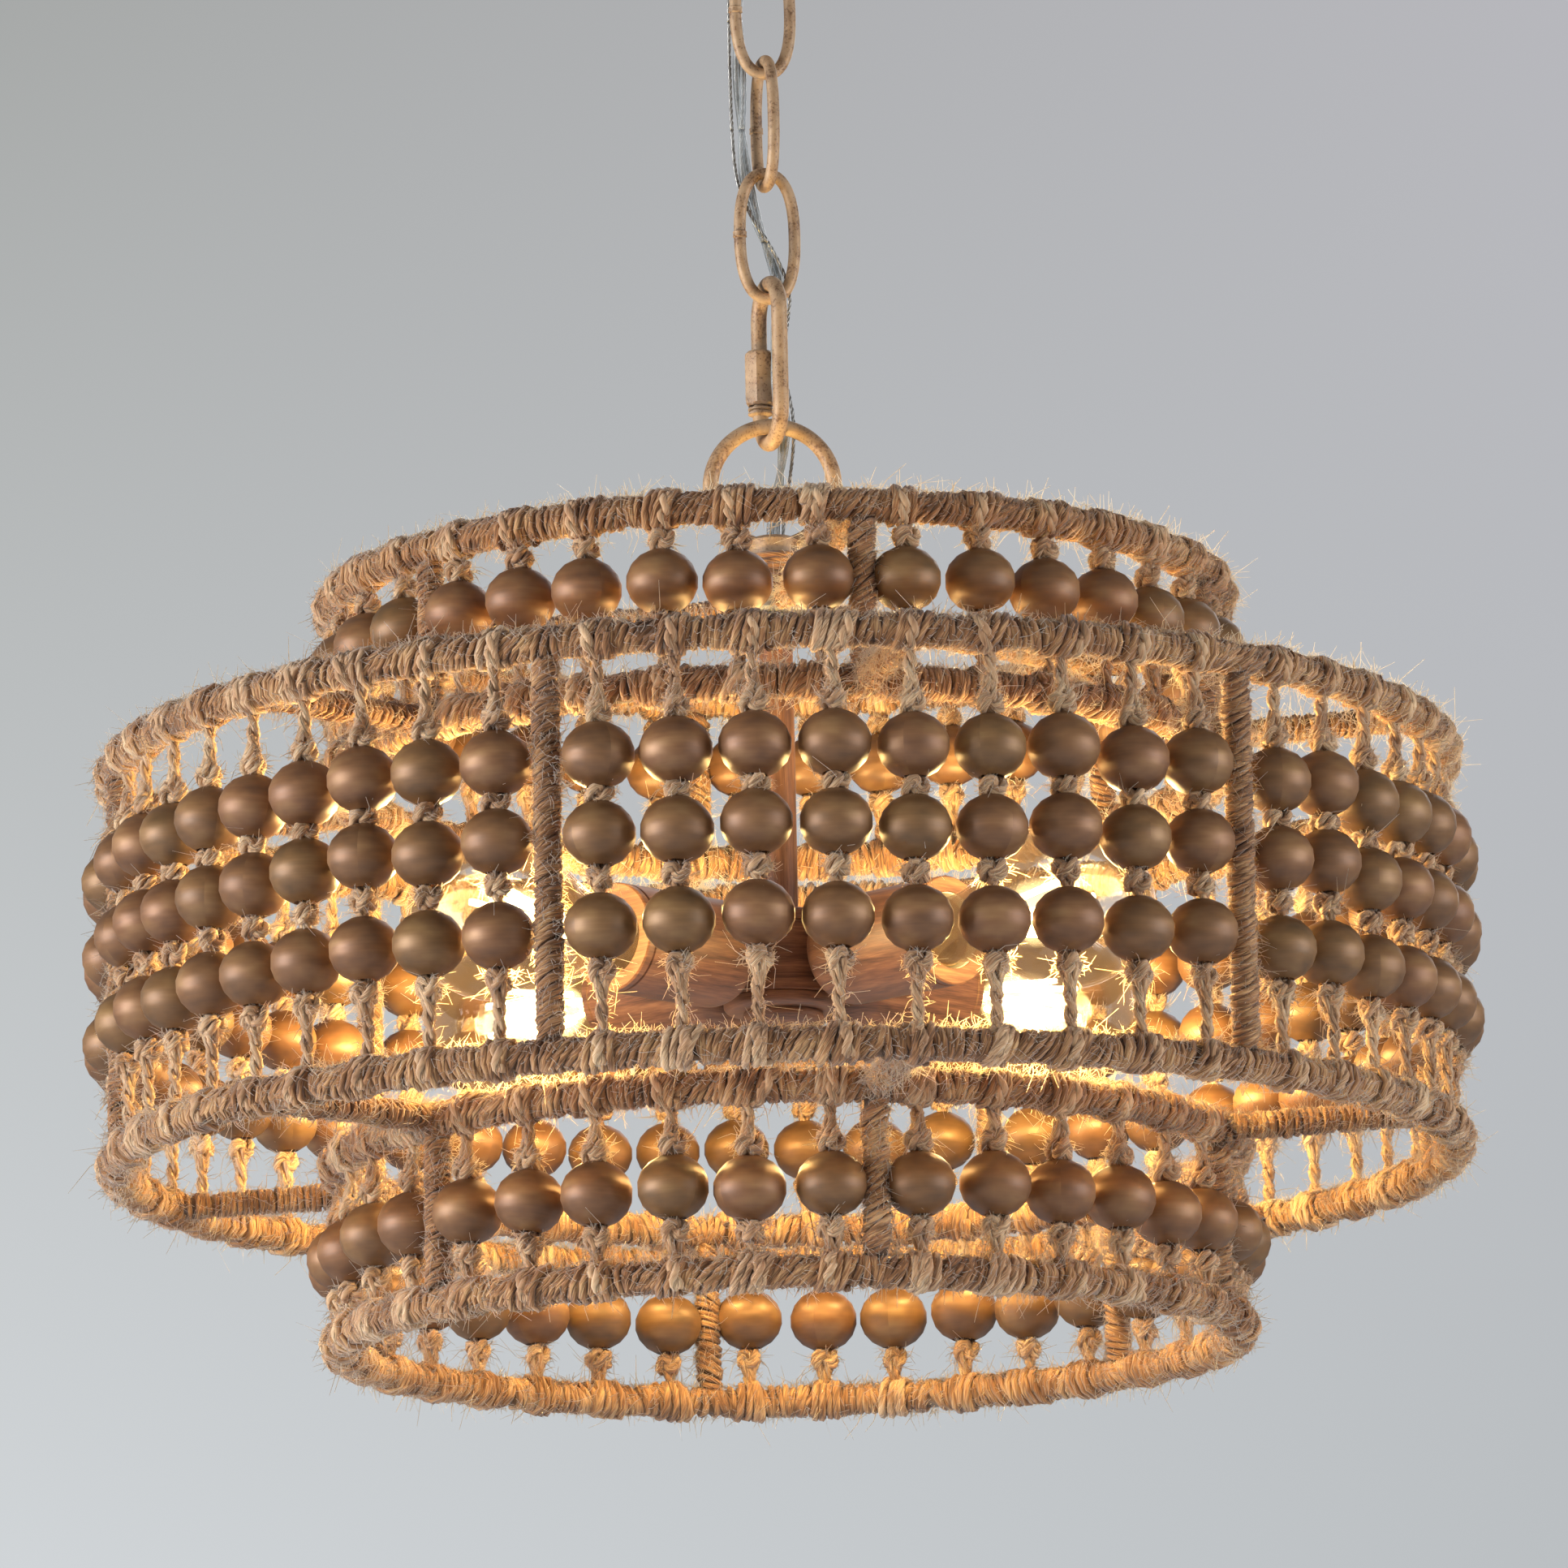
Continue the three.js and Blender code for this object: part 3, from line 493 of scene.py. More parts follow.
PAINT = DistressedPaint()
WALNUT = DarkWood()
UPRIGHT_WALNUT = DarkWood(name="walnut_stained_column", grain=Grain.UPRIGHT)
ZINC = Patina()
TINNED = Patina(name="tinned_copper")
PORCELAIN = Patina(
    name="glazed_porcelain",
    slot="porcelain",
    bright="#EDE8DC",
    dull="#DDD6C6",
    patch=8.0,
    stops=(0.35, 0.6),
    roughness=(0.22, 0.0),
    relief_depth=0.1,
    relief_strength=0.3,
    metallic=0.0,
    coat=0.5,
)
BRASS = Patina(
    name="rolled_brass",
    slot="brass",
    bright="#D9B878",
    dull="#A5824B",
    patch=4.0,
    detail=4.0,
    roughness=(0.2, 0.25),
    relief_depth=0.02,
    relief_strength=0.3,
)
BEAD_WOOD = StainedBead()
WINDING_JUTE = Jute()
STRAND_JUTE = Jute(name="jute_strand", shade="#80593A", middle="#BC9068", light="#E4C398", lay=20.0)
# loose fibres are paler than the yarn, and their colour is also lightened and warmed as painted light, for
# the glow of lamplight through them
LOOSE_JUTE_PAINTED_LIGHT = Jute("jute_fibre", "jute", "#D49A54", "#ECBB76", "#F9DDA9", groove_shade_share=0.1, thin=0.55)
# painted shade: the under layer is coloured much darker than the yarn, so the gaps between the turns look
# shaded
SHADED_CORE_JUTE = Jute(name="jute_under_layer_painted_shade", shade="#402A18", middle="#6B4B2E", light="#8C6845")
MOUNT_GLASS = BulbGlass(name="drawn_mount_glass", warmth=0.25)


# Shapes that every sub-assembly uses


@dataclass(frozen=True)
class Arc:
    """A rod bent about the vertical axis: its centreline between two azimuths."""

    radius: float
    z: float
    start: float
    end: float

    @property
    def length(self) -> float:
        """The centreline's length."""
        return self.radius * math.radians(self.end - self.start)

    def across(self, s: Array) -> tuple[Array, Array, Array]:
        """Gives the centreline and the two directions across it.

        Args:
            s: Distances from the start.

        Returns:
            The centre, the outward direction and the upward one at each distance.
        """
        a = math.radians(self.start) + s / self.radius
        out = np.stack([np.sin(a), -np.cos(a), np.zeros_like(a)], axis=1)
        up = np.tile([0.0, 0.0, 1.0], (len(s), 1))
        return self.radius * out + np.array([0, 0, self.z]), out, up


@dataclass(frozen=True)
class Bar:
    """A straight rod between two points, with a direction across it to count its turns from."""

    foot: Point
    head: Point
    face: Point

    @property
    def length(self) -> float:
        """The rod's length."""
        return float(np.linalg.norm(np.subtract(self.head, self.foot)))

    def across(self, s: Array) -> tuple[Array, Array, Array]:
        """Gives the centreline and the two directions across it.

        Args:
            s: Distances from the foot.

        Returns:
            The centre, the face direction and the one square to it at each distance.
        """
        along = np.subtract(self.head, self.foot) / self.length
        up = np.cross(along, self.face)
        centre = np.array(self.foot) + s[:, None] * along
        return centre, np.tile(self.face, (len(s), 1)), np.tile(up, (len(s), 1))


def unit(vectors: Array) -> Array:
    """Scales vectors along the last axis to a length of one."""
    return vectors / (np.linalg.norm(vectors, axis=-1, keepdims=True) + 1e-9)


def circle(angle: Array) -> Array:
    """Gives the level direction at each angle, counted from X towards Y."""
    return np.stack([np.cos(angle), np.sin(angle), np.zeros(len(angle))], axis=1)


def linked(name: str, data: bpy.types.ID) -> Piece:
    """Makes an object of the data and puts it in the scene."""
    made = bpy.data.objects.new(name, data)
    bpy.context.scene.collection.objects.link(made)
    return made


def mesh_piece(name: str, points: Array, corners: Array, sizes: Array, map_name: str, places: Array) -> Piece:
    """Makes a piece from arrays.

    Args:
        name: Its name.
        points: Its points in metres.
        corners: The number of the point at each face corner, face by face.
        sizes: How many corners each face has.
        map_name: The name of its UV map.
        places: The map's place of each face corner.

    Returns:
        The piece, linked to the scene.
    """
    mesh = bpy.data.meshes.new(name)
    mesh.vertices.add(len(points))
    mesh.vertices.foreach_set("co", points.astype(np.float32).ravel())
    mesh.loops.add(len(corners))
    mesh.loops.foreach_set("vertex_index", corners.astype(np.int32))
    mesh.polygons.add(len(sizes))
    starts = np.concatenate([[0], np.cumsum(sizes)[:-1]])
    mesh.polygons.foreach_set("loop_start", starts.astype(np.int32))
    mesh.polygons.foreach_set("use_smooth", np.ones(len(sizes), bool))
    uv = mesh.uv_layers.new(name=map_name)
    uv.data.foreach_set("uv", places.astype(np.float32).ravel())
    mesh.update(calc_edges=True)
    return linked(name, mesh)


@dataclass
class YarnBundle:
    """Tubes of yarn or fibre that become one mesh, with a map along and around each of them."""

    points: list[Array] = field(default_factory=list)
    corners: list[Array] = field(default_factory=list)
    sizes: list[Array] = field(default_factory=list)
    places: list[Array] = field(default_factory=list)
    count: int = 0

    def lay(
        self, line: Array, normal: Array, width: Sizes, thick: Sizes, sides: int, closed: bool = False
    ) -> None:
        """Adds one tube, its ends capped unless it closes on itself.

        Args:
            line: The centreline's points.
            normal: A direction away from what the tube lies on, at each point.
            width: The section's size along what it lies on, one number or one for each point.
            thick: The section's size away from what it lies on, one number or one for each point.
            sides: How many sides the section has.
            closed: Whether the last point leads back to the first.
        """
        n = len(line)
        if closed:
            tangent = np.roll(line, -1, axis=0) - np.roll(line, 1, axis=0)
        else:
            tangent = np.gradient(line, axis=0)
        tangent = unit(tangent)
        side = unit(np.cross(tangent, normal))
        away = np.cross(side, tangent)
        a = 2 * np.pi * (np.arange(sides) + 0.5) / sides
        half_width = np.broadcast_to(np.asarray(width) / 2, (n,))[:, None, None]
        half_thick = np.broadcast_to(np.asarray(thick) / 2, (n,))[:, None, None]
        ring = line[:, None] + half_width * np.cos(a)[None, :, None] * side[:, None]
        ring = ring + half_thick * np.sin(a)[None, :, None] * away[:, None]
        self.points.append(ring.reshape(-1, 3))
        steps = np.linalg.norm(np.diff(line, axis=0, append=line[:1]), axis=1)
        run = np.concatenate([[0.0], np.cumsum(steps)])
        j, i = np.meshgrid(np.arange(n if closed else n - 1), np.arange(sides), indexing="ij")
        nj, ni = (j + 1) % n, (i + 1) % sides
        quads = np.stack([j * sides + i, nj * sides + i, nj * sides + ni, j * sides + ni], axis=-1)
        along = np.stack([run[j], run[j + 1], run[j + 1], run[j]], axis=-1)
        around = np.stack([i, i, i + 1, i + 1], axis=-1) / sides
        self.corners.append(quads.reshape(-1) + self.count)
        self.places.append(np.stack([along, around], axis=-1).reshape(-1, 2))
        self.sizes.append(np.full(quads.shape[0] * quads.shape[1], 4))
        if not closed:
            first = np.arange(sides)
            last = (n - 1) * sides + np.arange(sides)[::-1]
            self.corners.append(np.concatenate([first, last]) + self.count)
            self.places.append(np.zeros((2 * sides, 2)))
            self.sizes.append(np.array([sides, sides]))
        self.count += n * sides

    def comb(self, lines: Array, thickness: float) -> None:
        """Adds many loose fibres at once, each a flat wisp that is thinner towards its tip.

        Args:
            lines: Every fibre's points, as an array of fibres by points by three.
            thickness: Their width at the root.
        """
        n, k, _ = lines.shape
        side = unit(np.cross(unit(np.gradient(lines, axis=1)), (0.31, 0.52, 0.79)))
        half = (thickness / 2 * np.linspace(1, 0.4, k))[None, :, None] * side
        self.points.append(np.stack([lines - half, lines + half], axis=2).reshape(-1, 3))
        j = 2 * np.arange(k - 1)
        quads = np.stack([j, j + 1, j + 3, j + 2], axis=-1).reshape(1, -1)
        first = self.count + 2 * k * np.arange(n)[:, None]
        self.corners.append((quads + first).reshape(-1))
        self.sizes.append(np.full(n * quads.shape[1] // 4, 4))
        self.places.append(np.tile(np.stack([quads[0] // 2 * 1.0, quads[0] % 2 / 2], axis=1), (n, 1)))
        self.count += n * k * 2

    def piece(self, name: str) -> Piece:
        """Makes the mesh and its object, in metres, and shades it smooth."""
        arrays = [np.concatenate(part) for part in (self.points, self.corners, self.sizes, self.places)]
        piece = mesh_piece(name, arrays[0] * MM, *arrays[1:3], "yarn", arrays[3])
        piece.data.validate()
        return piece


def deselect() -> None:
    """Leaves nothing selected, so that an operator acts only on the new piece."""
    if bpy.context.object and bpy.context.object.mode != "OBJECT":
        bpy.ops.object.mode_set(mode="OBJECT")
    bpy.ops.object.select_all(action="DESELECT")


def pick(piece: Piece) -> None:
    """Selects one piece alone and makes it the active one."""
    deselect()
    piece.select_set(True)
    bpy.context.view_layer.objects.active = piece


def placed(piece: Piece, matrix: Matrix) -> Piece:
    """Moves a piece's mesh to its place, so that its object stays at the origin."""
    piece.data.transform(matrix)
    piece.data.update()
    return piece


def smooth(piece: Piece, angle: float = 40.0) -> Piece:
    """Shades a piece smooth and keeps edges sharper than an angle in degrees."""
    pick(piece)
    bpy.ops.object.shade_smooth_by_angle(angle=math.radians(angle))
    return piece


def welded(piece: Piece) -> Piece:
    """Merges doubled points of the piece being edited, turns its faces outwards and shades it smooth."""
    bpy.ops.mesh.select_all(action="SELECT")
    bpy.ops.mesh.remove_doubles(threshold=1e-6)
    bpy.ops.mesh.normals_make_consistent(inside=False)
    bpy.ops.object.mode_set(mode="OBJECT")
    return smooth(piece)


def bevelled(piece: Piece, width: float, angle: float) -> Piece:
    """Rounds a piece's edges in two steps.

    Args:
        piece: The piece.
        width: The bevel's width in millimetres.
        angle: The least angle of an edge that is rounded, in degrees.

    Returns:
        The same piece.
    """
    pick(piece)
    modifier = piece.modifiers.new("rounded_edges", "BEVEL")
    modifier.width, modifier.segments = width * MM, 2
    modifier.limit_method, modifier.angle_limit = "ANGLE", math.radians(angle)
    bpy.ops.object.modifier_apply(modifier=modifier.name)
    return piece


def drilled(
    piece: Piece, radius: float, depth: float, sides: int, place: Point | Array, turn: Point = (0, 0, 0)
) -> None:
    """Drills one round hole in a piece.

    Args:
        piece: The piece.
        radius: The hole's radius in millimetres.
        depth: The drill's length in millimetres, centred on its place.
        sides: How many sides the hole has.
        place: The middle of the drill, in millimetres.
        turn: The drill's rotation; it stands upright without one.
    """
    deselect()
    size = {"radius": radius * MM, "depth": depth * MM, "location": Vector(place) * MM}
    bpy.ops.mesh.primitive_cylinder_add(vertices=sides, rotation=turn, **size)
    drill = bpy.context.object
    pick(piece)
    cut = piece.modifiers.new("hole", "BOOLEAN")
    cut.object, cut.solver = drill, "EXACT"
    bpy.ops.object.modifier_apply(modifier=cut.name)
    bpy.data.objects.remove(drill)


def turned(name: str, outline: Outline, steps: int = 48, closed: bool = False) -> Piece:
    """Spins an outline about Z, as on a lathe.

    Args:
        name: The new piece's name.
        outline: Points of radius and height in millimetres, from the foot up the outside.
        steps: How many sides the turning has.
        closed: Whether the outline runs back to its first point.

    Returns:
        The turned piece, shaded smooth between its edges.
    """
    deselect()
    mesh = bpy.data.meshes.new(name)
    points = [(radius * MM, 0, z * MM) for radius, z in outline]
    edges = [(i, i + 1) for i in range(len(points) - 1)] + ([(len(points) - 1, 0)] if closed else [])
    mesh.from_pydata(points, edges, [])
    piece = linked(name, mesh)
    pick(piece)
    bpy.ops.object.mode_set(mode="EDIT")
    bpy.ops.mesh.select_all(action="SELECT")
    bpy.ops.mesh.spin(steps=steps, angle=2 * math.pi, center=(0, 0, 0), axis=(0, 0, 1))
    return welded(piece)


def arc_points(centre: tuple[float, float], radius: float, start: float, end: float, steps: int) -> Outline:
    """Gives points on an arc in an outline.

    Args:
        centre: The arc's centre as radius and height.
        radius: The arc's own radius.
        start: The first point's angle in degrees, counted from outward towards up.
        end: The last point's angle.
        steps: How many steps lie between them.

    Returns:
        The points, both ends included.
    """
    angles = np.radians(np.linspace(start, end, steps + 1))
    return [(centre[0] + radius * math.cos(a), centre[1] + radius * math.sin(a)) for a in angles]


def wire(name: str, points: Array, thickness: float, cyclic: bool = False, rounds: int = 4) -> Piece:
    """Bends a round wire along points.

    Args:
        name: The new piece's name.
        points: The centreline in millimetres.
        thickness: The wire's diameter in millimetres.
        cyclic: Whether the wire closes on itself.
        rounds: How fine the wire's section is.

    Returns:
        The wire as a smooth mesh with closed ends.
    """
    deselect()
    curve = bpy.data.curves.new(name, "CURVE")
    curve.dimensions = "3D"
    curve.bevel_depth = thickness / 2 * MM
    curve.bevel_resolution = rounds
    curve.use_fill_caps = not cyclic
    spline = curve.splines.new("POLY")
    spline.points.add(len(points) - 1)
    for place, point in zip(spline.points, points):
        place.co = (*(c * MM for c in point), 1.0)
    spline.use_cyclic_u = cyclic
    pick(linked(name, curve))
    bpy.ops.object.convert(target="MESH")
    bpy.ops.object.mode_set(mode="EDIT")
    return welded(bpy.context.object)


def joined(name: str, pieces: list[Piece]) -> Piece:
    """Joins pieces that are one in use, and names the result."""
    pick(pieces[0])
    for piece in pieces[1:]:
        piece.select_set(True)
    bpy.ops.object.join()
    bpy.context.object.name = name
    return bpy.context.object


def finished(piece: Piece, finish: Finish, body: str, nodes: tuple[str, ...] = ()) -> None:
    """Gives a piece its finish and its place in the frame, and logs it.

    Args:
        piece: The piece.
        finish: Its surface finish.
        body: The body that it moves with.
        nodes: The model's nodes that it stands for.
    """
    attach(piece, body)
    dressed(piece, finish, nodes, f"on {body}")


def dressed(piece: Piece, finish: Finish, nodes: tuple[str, ...], where: str) -> None:
    """Gives a piece its material, hides the model's nodes that it stands for, and logs what it moves with.

    Args:
        piece: The piece.
        finish: Its surface finish.
        nodes: The model's nodes that it stands for.
        where: What it moves with, for the log.
    """
    piece.data.materials.clear()
    piece.data.materials.append(finish.material())
    if nodes:
        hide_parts(*nodes)
    log.info("%s: %d faces, %s, %s", piece.name, len(piece.data.polygons), finish.name, where)


# The shade: jute-wound rings and uprights, strands and beads


class TierKind(Enum):
    """The shade's three tiers, from the top."""

    TOP = "top"
    MIDDLE = "middle"
    BOTTOM = "bottom"


@dataclass(frozen=True)
class Tier:
    """One tier between two rings, hung with strands of beads; its sixths are numbered from sector_start."""

    kind: TierKind
    radius: float
    high: float
    low: float
    upright: float
    sector_start: float
    strand_azimuths: tuple[float, ...]
    bead_drops: tuple[float, ...]
    strand_slip: float = 1.2
    bead_slip: float = 0.7

    def uneven(self, azimuth: float) -> list[float]:
        """Gives one strand's bead drops, each a little off its even place as tied by hand."""
        chance = np.random.default_rng(int(azimuth * 100))
        common = chance.uniform(-self.strand_slip, self.strand_slip)
        return [drop + common + chance.uniform(-self.bead_slip, self.bead_slip) for drop in self.bead_drops]

    def sector(self, azimuth: float) -> int:
        """Gives the number, from 0, of the sixth of the tier that an azimuth lies in."""
        return int(((azimuth - self.upright - self.sector_start) % 360) // 60)

    def strands(self) -> list[tuple[float, int]]:
        """Gives each strand's azimuth and its sector."""
        azimuths = [self.upright + 60 * i + offset for i in range(6) for offset in self.strand_azimuths]
        return [(azimuth, self.sector(azimuth)) for azimuth in azimuths]


@dataclass
class Bead:
    """A turned wooden bead with its bore."""

    diameter: float = 25.6
    bore: float = 5.0
    flatness: float = 0.925
    sides: int = 18
    bands: int = 9
    flat_from: float = 0.93

    def model(self) -> Piece:
        """Models one bead at the origin, its bore upright."""
        deselect()
        radius = self.diameter / 2 * MM
        bpy.ops.mesh.primitive_uv_sphere_add(segments=self.sides, ring_count=self.bands, radius=radius)
        bead = bpy.context.object
        for end in (1, -1):
            bpy.ops.object.mode_set(mode="EDIT")
            bpy.ops.mesh.select_mode(type="FACE")
            bpy.ops.mesh.select_all(action="DESELECT")
            bpy.ops.object.mode_set(mode="OBJECT")
            for face in bead.data.polygons:
                face.select = face.center.z * end > self.flat_from * radius
            bpy.ops.object.mode_set(mode="EDIT")
            bpy.ops.mesh.dissolve_faces()
            bpy.ops.mesh.inset(thickness=self.rim(), depth=0)
            bpy.ops.transform.translate(value=(0, 0, -end * self.bore / 2 * MM))
            bpy.ops.object.mode_set(mode="OBJECT")
        return smooth(bead, 60)

    def rim(self) -> float:
        """Gives how far in from the flat round each hole its edge lies, in metres."""
        flat = self.diameter / 2 * math.sin(math.pi / self.bands)
        return (flat - self.bore / 2) * MM


@dataclass
class BeadRows:
    """Every bead of one tier, in sixths."""

    tier: Tier
    bead: Bead
    seed: int
    tilt_slip: float = 0.05
    size_slip: float = 0.012

    def build(self) -> None:
        """Copies the bead to each place on each strand and makes each sixth's beads one piece."""
        model = self.bead.model()
        mesh = model.data
        points = np.array([v.co for v in mesh.vertices])
        corners = np.array([loop.vertex_index for loop in mesh.loops])
        sizes = np.array([len(face.vertices) for face in mesh.polygons])
        places = np.array([tuple(item.uv) for item in mesh.uv_layers[0].data])
        bpy.data.objects.remove(model)
        chance = np.random.default_rng(self.seed)
        sectors: dict[int, list[Array]] = {i: [] for i in range(6)}
        for azimuth, sector in self.tier.strands():
            for drop in self.tier.uneven(azimuth):
                centre = polar(self.tier.radius, azimuth, self.tier.high - drop)
                spin = Matrix.Rotation(chance.uniform(0, 2 * math.pi), 3, "Z")
                tilt = Matrix.Rotation(chance.normal(0, self.tilt_slip), 3, "X")
                lean = Matrix.Rotation(math.radians(azimuth) + chance.uniform(-1, 1), 3, "Z")
                turn = np.array(lean @ tilt @ spin)
                size = 1 + chance.uniform(-self.size_slip, self.size_slip)
                size = size * np.array([1, 1, self.bead.flatness])
                sectors[sector].append((points * size) @ turn.T + centre * MM)
        for sector, beads in sectors.items():
            name, count = f"beads_{self.tier.kind.value}_{sector + 1}", len(beads)
            loops = np.concatenate([corners + i * len(points) for i in range(count)])
            arrays = np.concatenate(beads), loops, np.tile(sizes, count)
            piece = mesh_piece(name, *arrays, "UVMap", np.tile(places, (count, 1)))
            tones = np.repeat(chance.uniform(0, 1, count), len(points)).astype(np.float32)
            piece.data.attributes.new("tone", "FLOAT", "POINT").data.foreach_set("value", tones)
            finished(smooth(piece, 60), BEAD_WOOD, "fixture")


@dataclass(frozen=True)
class Winding:
    """How yarn is wound on a rod: to what radius, the yarn's width and thickness, and its turns.

    The lean is the least and the most that a turn leans, as shares of the winding's radius.
    """

    outer: float
    width: float
    thick: float
    pitch: float
    lean: tuple[float, float]


@dataclass
class JuteWork:
    """The jute of one tier: windings on its rods, strands, knots and the loose fibres on them all."""

    tier: Tier
    rods: list[tuple[Bar, float]]
    seed: int
    ring: Winding = Winding(6.4, 2.9, 2.3, 2.3, (-0.55, 1.15))
    rod: Winding = Winding(5.25, 2.5, 2.0, 2.3, (0.35, 1.0))
    wrap: Winding = Winding(8.0, 3.1, 2.7, 2.604, (-0.1, 0.5))
    wrap_turns: float = 4.0
    wrap_spread: float = 0.8
    pale_wraps: float = 0.2
    core_step: float = 12.0
    core_sides: int = 10
    slip_share: float = 0.3
    swell_size: float = 0.32
    turn_steps: int = 8
    yarn_sides: int = 5
    ply: float = 3.0
    ply_offset: float = 1.2
    ply_sides: int = 6
    strand_lay: float = 15.0
    strand_step: float = 1.9
    strand_bow: float = 0.5
    long_gap: float = 12.0
    knot_radius: float = 1.35
    knot_height: float = 2.2
    knot_gap: float = 3.4
    knot_sizes: tuple[float, float] = (0.85, 1.12)
    knot_apart: float = 1.4
    knot_reach: float = 4.8
    drape_angles: tuple[float, float] = (96, -50)
    drape_steps: int = 11
    drape_slip: float = 1.2
    drape_slant: float = 3.0
    drape_twist: float = 1.4
    bead_radius: float = 11.8
    flare_radius: float = 2.6
    flare_length: float = 10.0
    flare_plies: int = 5
    fibre: float = 0.42
    fibre_spacing: float = 0.1
    fibres_up: float = 0.35
    fibre_lengths: tuple[float, ...] = (1.2, 1.4, 6.5)
    knot_fibres: int = 80
    strand_fibre_spacing: float = 0.45

    def __post_init__(self) -> None:
        """Starts the sixths' bundles and the chance that varies them."""
        self.chance = np.random.default_rng(self.seed)
        bundles = [[YarnBundle() for _ in range(6)] for _ in range(4)]
        self.windings, self.cores, self.plies, self.loose = bundles
        self.roots: list[list[Array]] = [[] for _ in range(6)]
        self.ways: list[list[Array]] = [[] for _ in range(6)]

    def build(self) -> None:
        """Winds the rods, hangs the strands and makes each sixth's pieces."""
        for z in (self.tier.high, self.tier.low):
            for sector in range(6):
                self.cover(self.ring_sixth(z, sector), sector, self.ring)
        for bar, azimuth in self.rods:
            self.cover(bar, self.tier.sector(azimuth), self.rod)
        for azimuth, sector in self.tier.strands():
            self.strand(azimuth, sector)
            self.hitch(azimuth, sector)
        for sector in range(6):
            self.comb_fibres(sector)
            tail = f"{self.tier.kind.value}_{sector + 1}"
            windings = self.windings[sector].piece(f"jute_windings_{tail}")
            finished(windings, WINDING_JUTE, "fixture", (f"bead_curtain_{tail}",))
            # the cores carry painted shade for the gaps between the turns
            finished(self.cores[sector].piece(f"jute_cores_{tail}"), SHADED_CORE_JUTE, "fixture")
            finished(self.plies[sector].piece(f"jute_strands_{tail}"), STRAND_JUTE, "fixture")
            finished(self.loose[sector].piece(f"jute_fibres_{tail}"), LOOSE_JUTE_PAINTED_LIGHT, "fixture")

    def ring_sixth(self, z: float, sector: int) -> Arc:
        """Gives the sixth of the ring at a height."""
        start = self.tier.upright + self.tier.sector_start + 60 * sector
        return Arc(self.tier.radius, z, start, start + 60)

    def cover(self, core: Arc | Bar, sector: int, how: Winding) -> None:
        """Winds one rod with yarn over its plain under layer.

        Args:
            core: The rod's centreline.
            sector: The sixth that it belongs to.
            how: How it is wound.
        """
        steps = max(2, int(core.length / self.core_step) + 1)
        centre, out, _ = core.across(np.linspace(0, core.length, steps))
        under = 2 * (how.outer - 0.75 * how.thick)
        self.cores[sector].lay(centre, out, under, under, self.core_sides)
        self.wind(core, self.windings[sector], 0, core.length, how)
        self.fuzz(core, sector, how.outer)

    def wind(self, core: Arc | Bar, bundle: YarnBundle, start: float, end: float, how: Winding) -> None:
        """Winds yarn round a rod as one helix, with the unevenness of work by hand.

        Args:
            core: The rod's centreline.
            bundle: The yarn that the winding joins.
            start: The distance along the rod where the winding starts.
            end: Where it ends.
            how: How it is wound.
        """
        turns, radius = (end - start) / how.pitch, how.outer - how.thick / 2
        t = np.linspace(0, turns, max(4, int(turns * self.turn_steps)) + 1)
        marks = np.arange(int(turns) + 3)
        slip = np.interp(t, marks, self.chance.normal(0, self.slip_share * how.pitch, len(marks)))
        swell = np.interp(t, marks, self.chance.normal(0, self.swell_size, len(marks)))
        slow = np.interp(t, marks[::4], self.chance.uniform(*how.lean, len(marks[::4])))
        angle = 2 * np.pi * t + self.chance.uniform(0, 2 * np.pi)
        s = start + how.pitch * t + slip + slow * radius * np.sin(angle)
        centre, out, up = core.across(np.clip(s, 0, core.length))
        away = out * np.cos(angle)[:, None] + up * np.sin(angle)[:, None]
        line = centre + (radius + swell)[:, None] * away
        bundle.lay(line, away, how.width, how.thick, self.yarn_sides)

    def strand(self, azimuth: float, sector: int) -> None:
        """Hangs one strand between the rings and knots it above, below and between its beads.

        Args:
            azimuth: The strand's azimuth in degrees.
            sector: The sixth that it belongs to.
        """
        tier = self.tier
        drops = tier.uneven(azimuth)
        tops = [tier.high - self.ring.outer] + [tier.high - drop - self.bead_radius for drop in drops]
        feet = [tier.high - drop + self.bead_radius for drop in drops] + [tier.low + self.ring.outer]
        place = polar(tier.radius, azimuth, 0)
        last = len(drops)
        for number, (top, foot) in enumerate(zip(tops, feet)):
            self.twist(place, top + (1 if number else 3), foot - (1 if number < last else 3), sector)
            long = top - foot > self.long_gap
            if number > 0:
                knot = place + (0, 0, top - min(self.knot_gap, (top - foot) / 2))
                self.knot(knot, sector)
                if long:
                    self.flare(knot, -1, sector)
            if number < last and (number == 0 or long):
                knot = place + (0, 0, foot + self.knot_gap)
                self.knot(knot, sector)
                if number == 0 and long:
                    self.flare(knot, 1, sector)

    def hitch(self, azimuth: float, sector: int) -> None:
        """Ties one strand to both rings: a few turns round each, and its end led over the front.

        Args:
            azimuth: The strand's azimuth in degrees.
            sector: The sixth that it belongs to.
        """
        tier = self.tier
        middle = math.radians(azimuth - tier.upright - tier.sector_start) % math.radians(60) * tier.radius
        for z in (tier.high, tier.low):
            ring = self.ring_sixth(z, sector)
            half = (self.wrap_turns + self.chance.uniform(-1, 1)) * self.wrap.pitch / 2
            off = self.chance.normal(0, self.wrap_spread)
            low, high = max(middle - half + off, 0), min(middle + half + off, ring.length)
            pale = self.chance.random() < self.pale_wraps
            bundle = self.plies[sector] if pale else self.windings[sector]
            self.wind(ring, bundle, low, high, self.wrap)
            self.drape(azimuth + math.degrees(off / tier.radius), z, 1 if z == tier.low else -1, sector)

    def yarn(self, line: Array, away: Array, sector: int, closed: bool = False) -> None:
        """Lays one ply of a strand's yarn along a line."""
        self.plies[sector].lay(line, away, self.ply, self.ply, self.ply_sides, closed)

